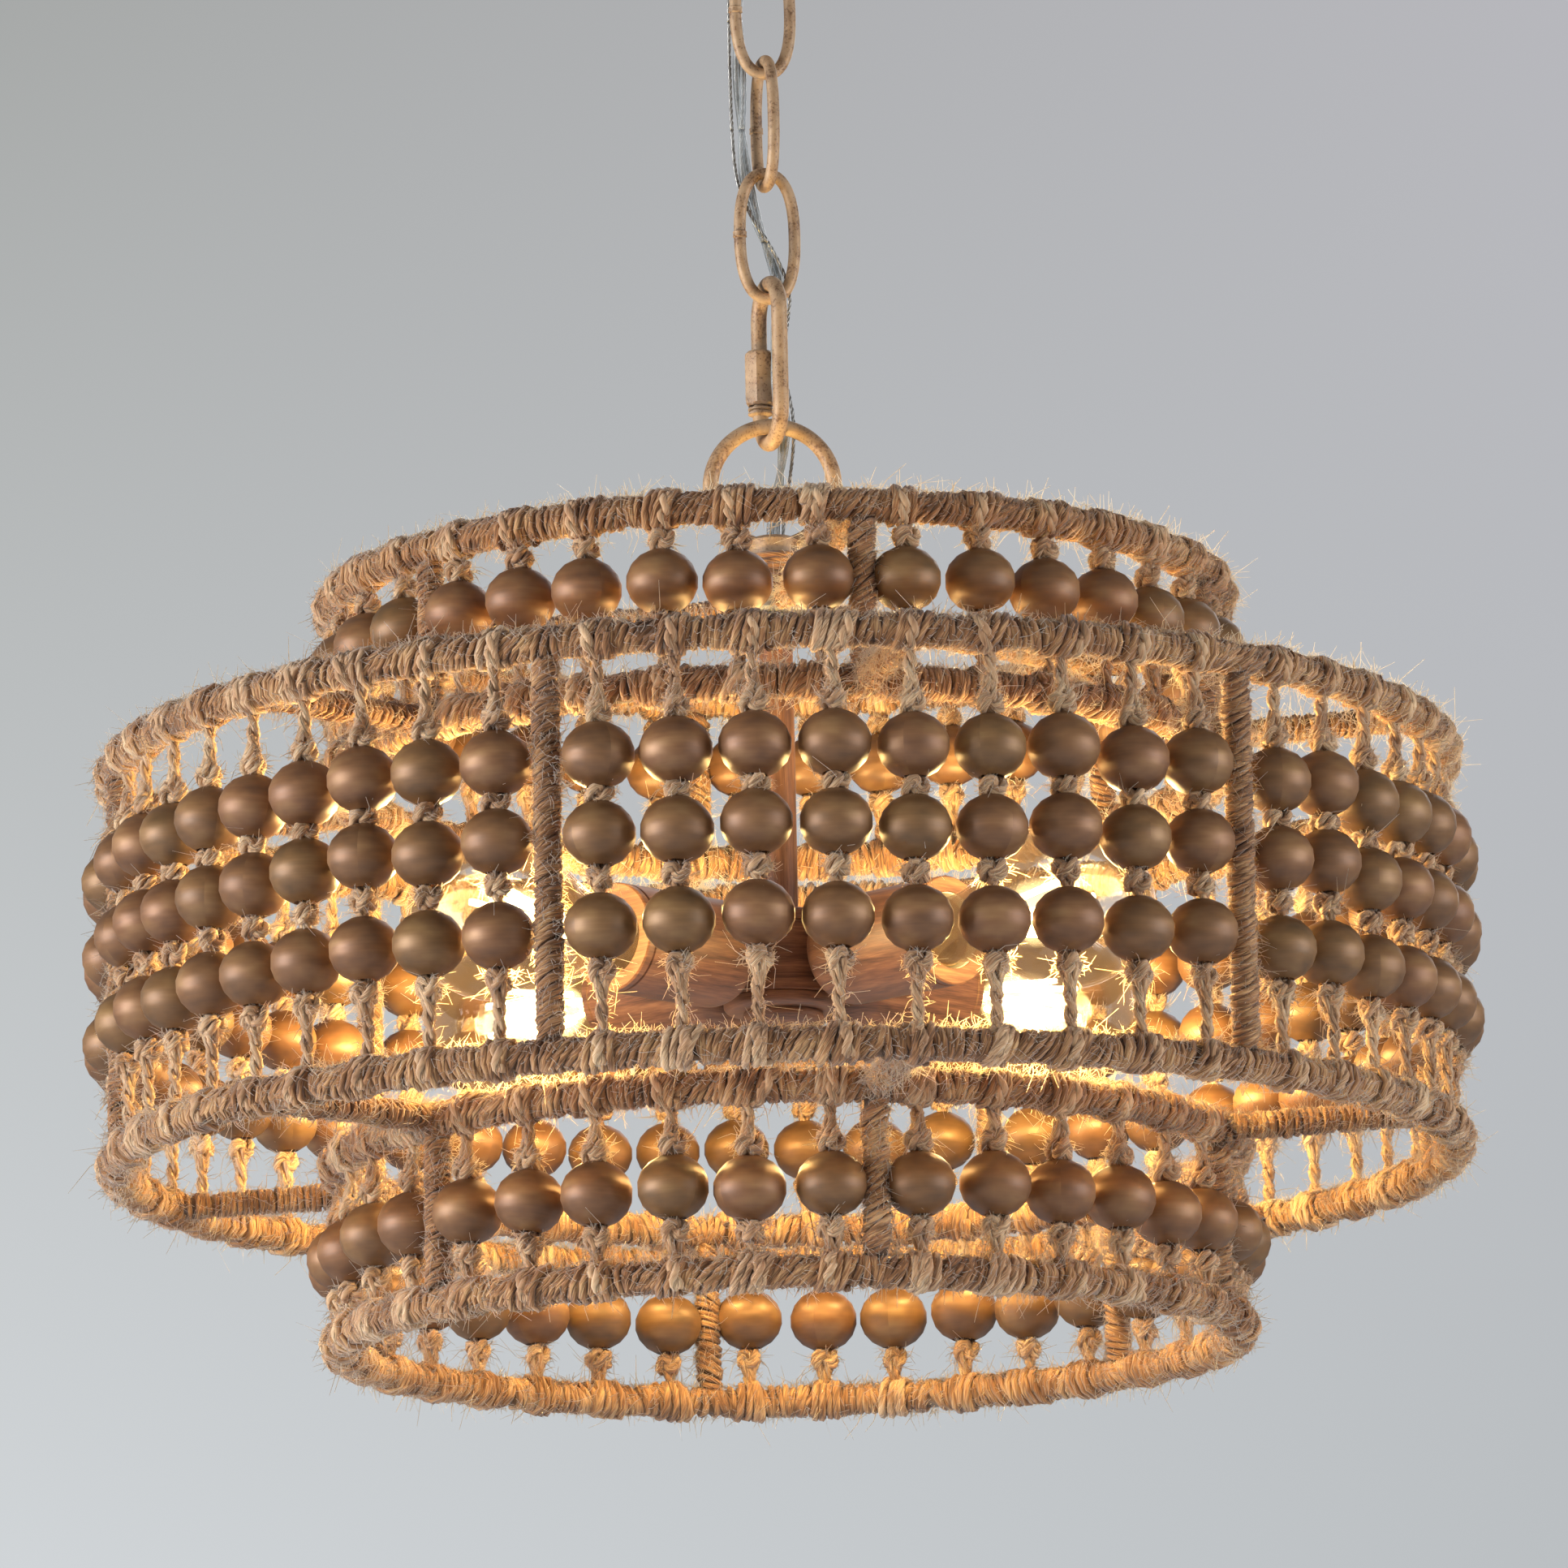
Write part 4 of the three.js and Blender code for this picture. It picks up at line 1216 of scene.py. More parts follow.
    def drape(self, azimuth: float, height: float, side: int, sector: int) -> None:
        """Leads a strand's end over the front of a ring, from the strand's own line to the far edge.

        Args:
            azimuth: The strand's azimuth in degrees.
            height: The ring's height.
            side: 1 if the strand comes from above, -1 if from below.
            sector: The sixth that it belongs to.
        """
        steps = self.drape_steps
        angle = np.radians(np.linspace(*self.drape_angles, steps)) * side
        out = self.tier.radius + self.ring.outer * np.cos(angle)
        z = height + self.ring.outer * np.sin(angle)
        slant = self.chance.normal(0, self.drape_slip)
        slant = slant + np.linspace(0, self.chance.normal(0, self.drape_slant), steps)
        for half in (-1, 1):
            turn = 2 * np.pi * np.linspace(0, self.drape_twist, steps) + half * np.pi / 2
            turned_to = math.radians(azimuth) + (slant + self.ply_offset * np.cos(turn)) / self.tier.radius
            sine, cosine = np.sin(turned_to), -np.cos(turned_to)
            reach = out + self.ply_offset * 0.6 * np.sin(turn)
            away = np.stack([np.cos(angle) * sine, np.cos(angle) * cosine, np.sin(angle)], axis=1)
            line = np.stack([reach * sine, reach * cosine, z], axis=1)
            self.yarn(line, away, sector)

    def twist(self, place: Array, top: float, foot: float, sector: int) -> None:
        """Hangs two plies twisted round each other between two heights.

        Args:
            place: The strand's place, at a height of 0.
            top: The height of its head.
            foot: The height of its foot.
            sector: The sixth that it belongs to.
        """
        count = max(4, int((top - foot) / self.strand_step) + 1)
        z = np.linspace(top, foot, count)
        phase = self.chance.uniform(0, 2 * np.pi)
        bow = np.sin(np.linspace(0, np.pi, count))[:, None] * (*self.chance.normal(0, self.strand_bow, 2), 0)
        middle = place + bow + z[:, None] * (0, 0, 1)
        for half in (0, np.pi):
            away = circle(phase + half + 2 * np.pi * (top - z) / self.strand_lay)
            line = middle + self.ply_offset * away
            self.yarn(line, away, sector)
        heights = np.arange(foot, top, self.strand_fibre_spacing)
        ways = self.chance.normal(0, 1, (len(heights), 3)) * (1, 1, 0.7)
        self.fibres(place + heights[:, None] * (0, 0, 1), ways, sector, self.ply * 0.8)

    def knot(self, centre: Array, sector: int) -> None:
        """Ties one overhand knot, small and tight, with a turn of its own.

        Args:
            centre: The knot's centre.
            sector: The sixth that it belongs to.
        """
        t = np.linspace(0, 2 * np.pi, 21)[:-1]
        for strand in range(2):
            size = self.knot_radius * self.chance.uniform(*self.knot_sizes)
            x = size * (np.sin(t) + 2 * np.sin(2 * t))
            y = size * (np.cos(t) - 2 * np.cos(2 * t))
            z = (strand - 0.5) * self.knot_apart - self.knot_height * np.sin(3 * t)
            turn = self.chance.uniform(0, 2 * np.pi)
            sine, cosine = np.sin(turn), np.cos(turn)
            line = np.stack([x * cosine - y * sine, x * sine + y * cosine, z], axis=1)
            self.yarn(line + centre, line, sector, closed=True)
        ways = self.chance.normal(0, 1, (self.knot_fibres, 3)) * (1, 1, 0.8)
        self.fibres(np.tile(centre, (self.knot_fibres, 1)), ways, sector, self.knot_reach)

    def flare(self, centre: Array, way: int, sector: int) -> None:
        """Spreads yarn from a strand into a knot, as a short cone.

        Args:
            centre: The knot's centre.
            way: 1 if the strand leaves the knot upwards, -1 if downwards.
            sector: The sixth that it belongs to.
        """
        t = np.linspace(0, 1, 6)
        spread = self.flare_radius * (1 - t) ** 1.4 + self.ply_offset * 0.8
        for number in range(self.flare_plies):
            away = circle(2 * np.pi * number / self.flare_plies + self.chance.uniform(-0.3, 0.3) + 1.2 * t)
            line = centre + spread[:, None] * away
            line[:, 2] += way * self.flare_length * t
            size = self.ply * (0.95 - 0.35 * t)
            self.plies[sector].lay(line, away, size, size, self.ply_sides)

    def fuzz(self, core: Arc | Bar, sector: int, outer: float) -> None:
        """Stands loose fibres off a wound rod, more of them upwards.

        Args:
            core: The rod's centreline.
            sector: The sixth that it belongs to.
            outer: The winding's outer radius.
        """
        count = int(core.length / self.fibre_spacing)
        centre, out, up = core.across(self.chance.uniform(0, core.length, count))
        angle = self.chance.uniform(0, 2 * np.pi, count)
        rising = self.chance.random(count) < self.fibres_up
        angle = np.where(rising, self.chance.normal(np.pi / 2, 0.7, count), angle)[:, None]
        away = out * np.cos(angle) + up * np.sin(angle)
        along = np.cross(out, up) * self.chance.normal(0, 1.3, (count, 1))
        self.fibres(centre + away * (outer - 0.6), away + along, sector, 0.0)

    def fibres(self, roots: Array, ways: Array, sector: int, lift: float) -> None:
        """Notes loose fibres that stand off the work.

        Args:
            roots: Where each grows from.
            ways: The way each starts out.
            sector: The sixth that they belong to.
            lift: How far along its way each root lies.
        """
        ways = unit(ways)
        self.roots[sector].append(roots + ways * lift)
        self.ways[sector].append(ways)

    def comb_fibres(self, sector: int) -> None:
        """Gives each of one sixth's fibres its length and curl, and makes them all."""
        roots, ways = np.concatenate(self.roots[sector]), np.concatenate(self.ways[sector])
        least, spread, most = self.fibre_lengths
        length = np.minimum(most, least + self.chance.exponential(spread, (len(roots), 1)))[:, None]
        curl = np.cross(ways, self.chance.normal(0, 1, (len(roots), 3)))[:, None] * 0.85 - (0, 0, 0.12)
        t = np.array([0, 0.5, 1.0])[None, :, None]
        self.loose[sector].comb(roots[:, None] + length * (ways[:, None] * t + curl * t**2), self.fibre)


@dataclass
class Shade:
    """The three tiers with every ring, upright, spoke, arm, strand and bead."""

    small_radius: float = 164.0
    big_radius: float = 245.0
    ring_heights: tuple[float, ...] = (-306.0, -370.0, -514.5, -580.5)
    small_upright: float = 11.0
    big_upright: float = 41.0
    small_strands: tuple[float, ...] = (5.5, 15.5, 25.0, 35.0, 44.5, 54.5)
    big_strands: tuple[float, ...] = (4.4, 10.8, 17.2, 23.6, 30.0, 36.4, 42.8, 49.2, 55.6)
    hub_radius: float = 18.3
    ring_wrap: float = 13.2

    def tiers(self) -> list[Tier]:
        """Lists the tiers from the top."""
        small, big = (self.small_upright, 30, self.small_strands), (self.big_upright, 26.8, self.big_strands)
        heights = self.ring_heights
        return [
            Tier(TierKind.TOP, self.small_radius, *heights[0:2], *small, (27,)),
            Tier(TierKind.MIDDLE, self.big_radius, *heights[1:3], *big, (40, 68, 100)),
            Tier(TierKind.BOTTOM, self.small_radius, *heights[2:4], *small, (35.5,)),
        ]

    def rods(self, tier: Tier) -> list[tuple[Bar, float]]:
        """Lists a tier's uprights, and its spokes or arms, each with the azimuth that it belongs to."""
        inset = self.ring_wrap / 2 - 1
        ends, found = (tier.low + inset, tier.high - inset), []
        for azimuth in (tier.upright + 60 * i for i in range(6)):
            foot, head = (tuple(polar(tier.radius, azimuth, z)) for z in ends)
            found.append((Bar(foot, head, tuple(polar(1, azimuth, 0))), azimuth))
        step, inner, heights = {
            TierKind.TOP: (120, self.hub_radius, (tier.high,)),
            TierKind.MIDDLE: (60, self.small_radius + inset, (tier.high, tier.low)),
            TierKind.BOTTOM: (60, 0, ()),
        }[tier.kind]
        for azimuth in (self.small_upright + step * i for i in range(360 // step)):
            for z in heights:
                foot, head = (tuple(polar(radius, azimuth, z)) for radius in (inner, tier.radius - inset))
                found.append((Bar(foot, head, (0, 0, 1)), azimuth))
        return found

    def build(self) -> None:
        """Builds every tier's jute and beads."""
        for number, tier in enumerate(self.tiers()):
            JuteWork(tier, self.rods(tier), seed=11 + number).build()
            BeadRows(tier, Bead(), seed=31 + number).build()


# The chain, the canopy, the stem and the hub


def wire_oval(half_wide: float, half_long: float, squareness: float, centre: float, count: int) -> Array:
    """Gives the centreline of an oval link in the XZ plane.

    Args:
        half_wide: Half the centreline's width.
        half_long: Half its length.
        squareness: Two for an ellipse, more for fuller corners.
        centre: The height of its middle.
        count: How many points it has.

    Returns:
        The points in order.
    """
    a = np.linspace(0, 2 * np.pi, count, endpoint=False)
    x = half_wide * np.sign(np.sin(a)) * np.abs(np.sin(a)) ** (2 / squareness)
    z = half_long * np.sign(np.cos(a)) * np.abs(np.cos(a)) ** (2 / squareness)
    return np.stack([x, np.zeros(count), centre + z], axis=1)


def even(curve: Array, step: float = 0, count: int = 0) -> Array:
    """Spaces a curve's points evenly along it.

    Args:
        curve: The curve's points.
        step: The distance from point to point, for an open curve.
        count: How many points there are instead, for a curve that closes on itself.

    Returns:
        The new points.
    """
    points = np.concatenate([curve, curve[:1]]) if count else curve
    run = np.concatenate([[0], np.cumsum(np.linalg.norm(np.diff(points, axis=0), axis=1))])
    where = np.linspace(0, run[-1], count or int(run[-1] / step), endpoint=not count)
    return np.stack([np.interp(where, run, points[:, k]) for k in range(3)], axis=1)


def ring_wire(name: str, size: float, thick: float, centre: float, count: int, rounds: int) -> Piece:
    """Bends a round ring that stands in the XZ plane.

    Args:
        name: The new piece's name.
        size: The ring's outer diameter.
        thick: The wire's diameter.
        centre: The height of the ring's middle.
        count: How many steps the ring has.
        rounds: How fine the wire's section is.

    Returns:
        The ring.
    """
    a, radius = np.linspace(0, 2 * np.pi, count, endpoint=False), (size - thick) / 2
    ring = np.stack([radius * np.sin(a), 0 * a, centre + radius * np.cos(a)], axis=1)
    return wire(name, ring, thick, cyclic=True, rounds=rounds)


def tube(bore: float, out: float, low: float, high: float, chamfer: float) -> Outline:
    """Gives the outline of a tube or washer whose outer edges are chamfered."""
    foot, head = low + chamfer, high - chamfer
    return [(bore, low), (out - chamfer, low), (out, foot), (out, head), (out - chamfer, high), (bore, high)]


def turn_z(degrees: float) -> Matrix:
    """Gives a turn about the vertical axis."""
    return Matrix.Rotation(math.radians(degrees), 4, "Z")


def shift(x: float, y: float, z: float) -> Matrix:
    """Gives a shift in millimetres."""
    return Matrix.Translation((x * MM, y * MM, z * MM))


@dataclass
class Chain:
    """Three oval links, each brazed on one side and turned a quarter from the last."""

    wire: float = 4.5
    length: float = 53.0
    width: float = 26.0
    squareness: float = 2.45
    yaw: float = 18.0
    tops: tuple[float, ...] = (-49.2, -92.9, -136.6)
    braze: float = 5.3
    braze_length: float = 2.6

    def build(self) -> None:
        """Bends each link, adds its brazed joint and turns it to its place."""
        half_wide, half_long = (self.width - self.wire) / 2, (self.length - self.wire) / 2
        for number, top in enumerate(self.tops):
            centre, name = top - self.length / 2, f"chain_link_{number + 1}"
            points = even(wire_oval(half_wide, half_long, self.squareness, centre, 240), count=72)
            bent = wire(name, points, self.wire, cyclic=True, rounds=5)
            link = joined(name, [bent, self.brazed_joint(-half_wide, centre)])
            placed(link, turn_z(self.yaw - (90 if number % 2 else 0)))
            finished(link, PAINT, name, (f"link_{number + 1}",))

    def brazed_joint(self, x: float, z: float) -> Piece:
        """Turns the swollen collar where the wire's two ends are brazed."""
        inner, outer, half = self.wire / 2 - 0.3, self.braze / 2, self.braze_length / 2
        outline = [(inner, -half), (outer - 0.35, -half), (outer, -half + 0.35), (outer - 0.12, 0)]
        outline += [(outer, half - 0.35), (outer - 0.35, half), (inner, half)]
        return placed(turned("brazed_joint", outline, 24, closed=True), shift(x, 0, z))


@dataclass
class QuickLink:
    """The opening link: an oval of thick wire, closed by a six-sided sleeve nut on its far rod."""

    wire: float = 6.0
    length: float = 67.0
    width: float = 31.0
    top: float = -178.8
    yaw: float = -72.0
    nut_flats: float = 10.0
    nut_length: float = 21.0
    nut_low: float = -225.8
    collar: float = 9.4
    collar_length: float = 3.4
    thread_pitch: float = 1.7

    @property
    def half_wide(self) -> float:
        """Half the width of the wire's centreline."""
        return (self.width - self.wire) / 2

    def build(self) -> None:
        """Bends the link, turns its collar and makes its sleeve nut."""
        rise = (self.length - self.wire) / 2 - self.half_wide
        centre, a = self.top - self.length / 2, np.linspace(0, np.pi, 33)
        x, z = self.half_wide * np.cos(a), rise + self.half_wide * np.sin(a)
        upper, lower = (np.stack([x * way, 0 * a, centre + z * way], axis=1) for way in (1, -1))
        points = even(np.concatenate([upper, lower]), count=110)
        bent = wire("quick_link_wire", points, self.wire, cyclic=True, rounds=6)
        link = placed(joined("quick_link_wire", [bent, self.thread()]), turn_z(self.yaw))
        finished(link, PAINT, "quick_link_body", ("quick_link",))
        nut = placed(self.sleeve_nut(), turn_z(self.yaw) @ shift(-self.half_wide, 0, self.nut_low))
        finished(nut, PAINT, "quick_link_nut_body", ("quick_link_nut",))

    def thread(self) -> Piece:
        """Turns the collar's two rounded ribs that show below the nut."""
        inner, outer = self.wire / 2 - 0.3, self.collar / 2
        base = self.nut_low - 0.3 - self.collar_length
        outline = [(inner, base - 0.5)]
        for low in (base, base + self.thread_pitch):
            outline += [(outer - 0.9, low), (outer, low + 0.4), (outer, low + 1.1), (outer - 0.9, low + 1.5)]
        outline.append((inner, base + self.collar_length))
        return placed(turned("link_thread", outline, 28, closed=True), shift(-self.half_wide, 0, 0))

    def sleeve_nut(self) -> Piece:
        """Models the six-sided sleeve, its corners chamfered at both ends and its bore clear of the wire."""
        flat, bore = self.nut_flats / 2, self.wire / 2 + 0.15
        outline = [(bore, 0.5), (bore + 0.5, 0), (flat - 0.45, 0), (flat, 0.9), (flat, 2.0)]
        outline += [(r, self.nut_length - z) for r, z in reversed(outline)]
        nut = turned("sleeve_nut", outline, 48, closed=True)
        for vertex in nut.data.vertices:
            radius, height = vertex.co.xy.length / MM, vertex.co.z / MM
            depth = min(height, self.nut_length - height)
            if radius > flat - 0.1:
                off = (math.atan2(vertex.co.y, vertex.co.x) + math.pi / 6) % (math.pi / 3) - math.pi / 6
                wanted = min(flat / math.cos(abs(off)), flat + 0.42 * depth)
                vertex.co.xy *= wanted / radius
        return smooth(nut, 30)


@dataclass
class Canopy:
    """The ceiling fitting: strap, spun canopy, two studs with cap nuts, and the loop with its lock nut."""

    plate_length: float = 104.0
    plate_width: float = 20.0
    plate_thickness: float = 2.5
    diameter: float = 127.0
    depth: float = 25.0
    wall: float = 1.4
    stud_spacing: float = 70.0
    stud: float = 4.0
    stud_tail: float = 5.0
    nut_seat: float = -24.2
    nut_radius: float = 4.5
    loop: float = 32.0
    loop_wire: float = 5.0
    loop_centre: float = -43.0
    loop_yaw: float = 108.0
    stem: float = 13.0
    stem_bore: float = 10.0
    lock_nut_radius: float = 10.0
    lock_nut_height: float = 4.0

    def build(self) -> None:
        """Builds the fitting's pieces from the ceiling down."""
        self.strap()
        self.shell()
        for side, name in ((-1, "left"), (1, "right")):
            self.stud_and_nut(side * self.stud_spacing / 2, name)
        self.eye()
        self.lock_nut()

    def strap(self) -> None:
        """Models the strap from a cube: two holes drilled, edges rounded."""
        deselect()
        bpy.ops.mesh.primitive_cube_add(size=1, location=(0, 0, -self.plate_thickness / 2 * MM))
        strap = bpy.context.object
        strap.name = "ceiling_strap"
        strap.scale = (self.plate_length * MM, self.plate_width * MM, self.plate_thickness * MM)
        bpy.ops.object.transform_apply(location=True, rotation=True, scale=True)
        for side in (-1, 1):
            drilled(strap, self.stud / 2 + 0.3, 10, 24, (side * self.stud_spacing / 2, 0, 0))
        finished(smooth(bevelled(strap, 0.5, 50), 30), ZINC, "ceiling_set", ("crossbar",))

    def shell(self) -> None:
        """Spins the canopy: a shallow stepped dish with a rolled rim and a turned-in neck."""
        out, deep, neck = self.diameter / 2, -self.depth, self.stem / 2 + 0.3
        skin = [(out, -0.05), (out, deep * 0.30), (out - 0.4, deep * 0.36), (out * 0.955, deep * 0.55)]
        skin += [(out * 0.90, deep * 0.74), (out * 0.86, deep * 0.82), (out * 0.80, deep * 0.865)]
        skin += [(out * 0.62, deep * 0.94), (out * 0.42, deep), (neck + 2, deep), (neck, deep)]
        wall = self.wall
        inner = [(r - wall if r > neck + 2 else r, z + (wall if r < out - 0.2 else 0)) for r, z in skin]
        inner[0] = (out - wall, -0.05)
        canopy = turned("canopy_shell", skin + inner[::-1], 96, closed=True)
        finished(smooth(canopy, 32), PAINT, "ceiling_set", ("canopy",))

    def stud_and_nut(self, x: float, name: str) -> None:
        """Turns one stud with its thread and one domed cap nut.

        Args:
            x: How far the stud stands to the right.
            name: Its side's name.
        """
        radius, low = self.stud / 2, self.nut_seat - self.stud_tail
        outline = [(0, low), (radius - 0.3, low)]
        z = low + 0.3
        while z < -4:
            outline += [(radius, z), (radius - 0.35, z + 0.5)]
            z += 1.0
        outline += [(radius, -3.5), (radius, -0.3), (0, -0.3)]
        stud = placed(turned(f"canopy_stud_{name}_thread", outline, 20), shift(x, 0, 0))
        finished(stud, ZINC, "ceiling_set", (f"canopy_stud_{name}",))
        out, seat, bore = self.nut_radius, self.nut_seat, radius + 0.3
        outline = [(0, seat - 7)] + arc_points((0.6, seat - 3.6), 3.4, -80, -6, 8)
        outline += [(out - 0.3, seat - 3.3), (out, seat - 3), (out, seat - 0.4), (out - 0.4, seat)]
        outline += [(bore, seat), (bore, low - 0.3), (0, low - 0.3)]
        nut = placed(turned(f"cap_nut_{name}_dome", outline, 32), shift(x, 0, 0))
        finished(nut, PAINT, "ceiling_set", (f"cap_nut_{name}",))

    def eye(self) -> None:
        """Bends the loop and turns its hollow stem with a collar."""
        ring = ring_wire("loop_ring", self.loop, self.loop_wire, self.loop_centre, 64, 5)
        top, out, bore = self.loop_centre + self.loop / 2, self.stem / 2, self.stem_bore / 2
        outline = [(bore, top - 4.6), (out - 1.2, top - 4.6), (out, top - 3.2), (out, -self.depth - 0.6)]
        outline += [(out - 0.3, -self.depth), (out - 0.3, -17.0), (bore, -17.0)]
        loop = joined("ceiling_loop", [ring, turned("loop_stem", outline, 40, closed=True)])
        placed(loop, turn_z(self.loop_yaw))
        finished(loop, PAINT, "ceiling_set", ("canopy_loop",))

    def lock_nut(self) -> None:
        """Turns the round nut inside the canopy, its edges chamfered."""
        low = -self.depth + self.wall + 0.3
        outline = tube(self.stem / 2 + 0.3, self.lock_nut_radius, low, low + self.lock_nut_height, 0.5)
        nut = turned("loop_lock_nut", outline, 40, closed=True)
        finished(nut, ZINC, "ceiling_set", ("canopy_loop_nut",))


@dataclass
class Stem:
    """The fixture's own loop on its stem, the jute whipping, the frame's hub and nut, and the column."""

    loop: float = 52.0
    loop_wire: float = 5.9
    loop_centre: float = -259.6
    stem: float = 18.0
    stem_top: float = -279.7
    stem_foot: float = -301.7
    column: float = 12.7
    column_top: float = -287.0
    column_foot: float = -427.0
    bore: float = 10.0
    hub: float = 36.0
    hub_middle: float = -306.0
    hub_height: float = 8.0
    nut_flats: float = 22.0
    nut_height: float = 6.0
    whip: Winding = Winding(11.5, 2.6, 2.5, 2.1, (0, 0))
    whip_ends: tuple[float, float] = (-300.3, -287.2)

    def build(self) -> None:
        """Builds the stem's pieces from the loop down."""
        self.eye()
        self.whipping()
        self.steel_hub()
        self.column_pipe()

    def eye(self) -> None:
        """Bends the loop and turns the stem it is welded to."""
        ring = ring_wire("top_ring", self.loop, self.loop_wire, self.loop_centre, 96, 6)
        out, bore, socket = self.stem / 2, self.bore / 2, self.column / 2 + 0.3
        foot, top, seat = self.stem_foot, self.stem_top, self.column_top + 0.3
        outline = [(socket, foot), (out - 0.4, foot), (out, foot + 0.4), (out, top - 1.2), (out - 1.2, top)]
        outline += [(bore, top), (bore, seat), (socket, seat)]
        loop = joined("fixture_loop", [ring, turned("stem_body", outline, 48, closed=True)])
        finished(loop, PAINT, "fixture", ("top_loop",))

    def whipping(self) -> None:
        """Whips jute round the stem, over a plain under layer."""
        how, (low, high) = self.whip, self.whip_ends
        turns = (high - low) / how.pitch
        t = np.linspace(0, turns, int(turns * 14))
        away = circle(2 * np.pi * t - np.pi / 2)
        line = (how.outer - how.thick / 2) * away + (low + how.pitch * t)[:, None] * (0, 0, 1)
        bundle = YarnBundle()
        bundle.lay(line, away, how.width, how.thick, 6)
        whip = bundle.piece("stem_whipping")
        inner, outer = self.stem / 2 + 0.3, how.outer - 1.4
        outline = [(inner, low - 0.8), (outer, low - 0.8), (outer, high + 0.6), (inner, high + 0.6)]
        core = turned("stem_whipping_core", outline, 32, closed=True)
        finished(whip, WINDING_JUTE, "fixture", ("stem_wrap",))
        # the core carries painted shade for the gaps between the turns
        finished(core, SHADED_CORE_JUTE, "fixture")

    def steel_hub(self) -> None:
        """Turns the hub ring with a chamfer, and models the hexagon nut under it."""
        bore, half, middle = self.column / 2 + 0.3, self.hub_height / 2, self.hub_middle
        outline = tube(bore, self.hub / 2, middle - half, middle + half, 1)
        finished(turned("hub_ring", outline, 48, closed=True), ZINC, "fixture", ("frame_hub",))
        deselect()
        corner = self.nut_flats / 2 / math.cos(math.pi / 6)
        place = (0, 0, middle - half - 0.3 - self.nut_height / 2)
        size = {"radius": corner * MM, "depth": self.nut_height * MM, "location": Vector(place) * MM}
        bpy.ops.mesh.primitive_cylinder_add(vertices=6, **size)
        nut = bpy.context.object
        nut.name = "column_lock_nut"
        bpy.ops.object.transform_apply(location=True, rotation=True, scale=True)
        drilled(nut, bore, 20, 32, place)
        finished(smooth(bevelled(nut, 0.5, 40), 30), ZINC, "fixture", ("column_nut",))

    def column_pipe(self) -> None:
        """Turns the wooden column with its cord bore and softened ends."""
        outline = tube(self.bore / 2, self.column / 2, self.column_foot, self.column_top, 0.5)
        pipe = turned("column_pipe", outline, 40, closed=True)
        finished(pipe, UPRIGHT_WALNUT, "fixture", ("column_tube",))


# The lamps and the cord


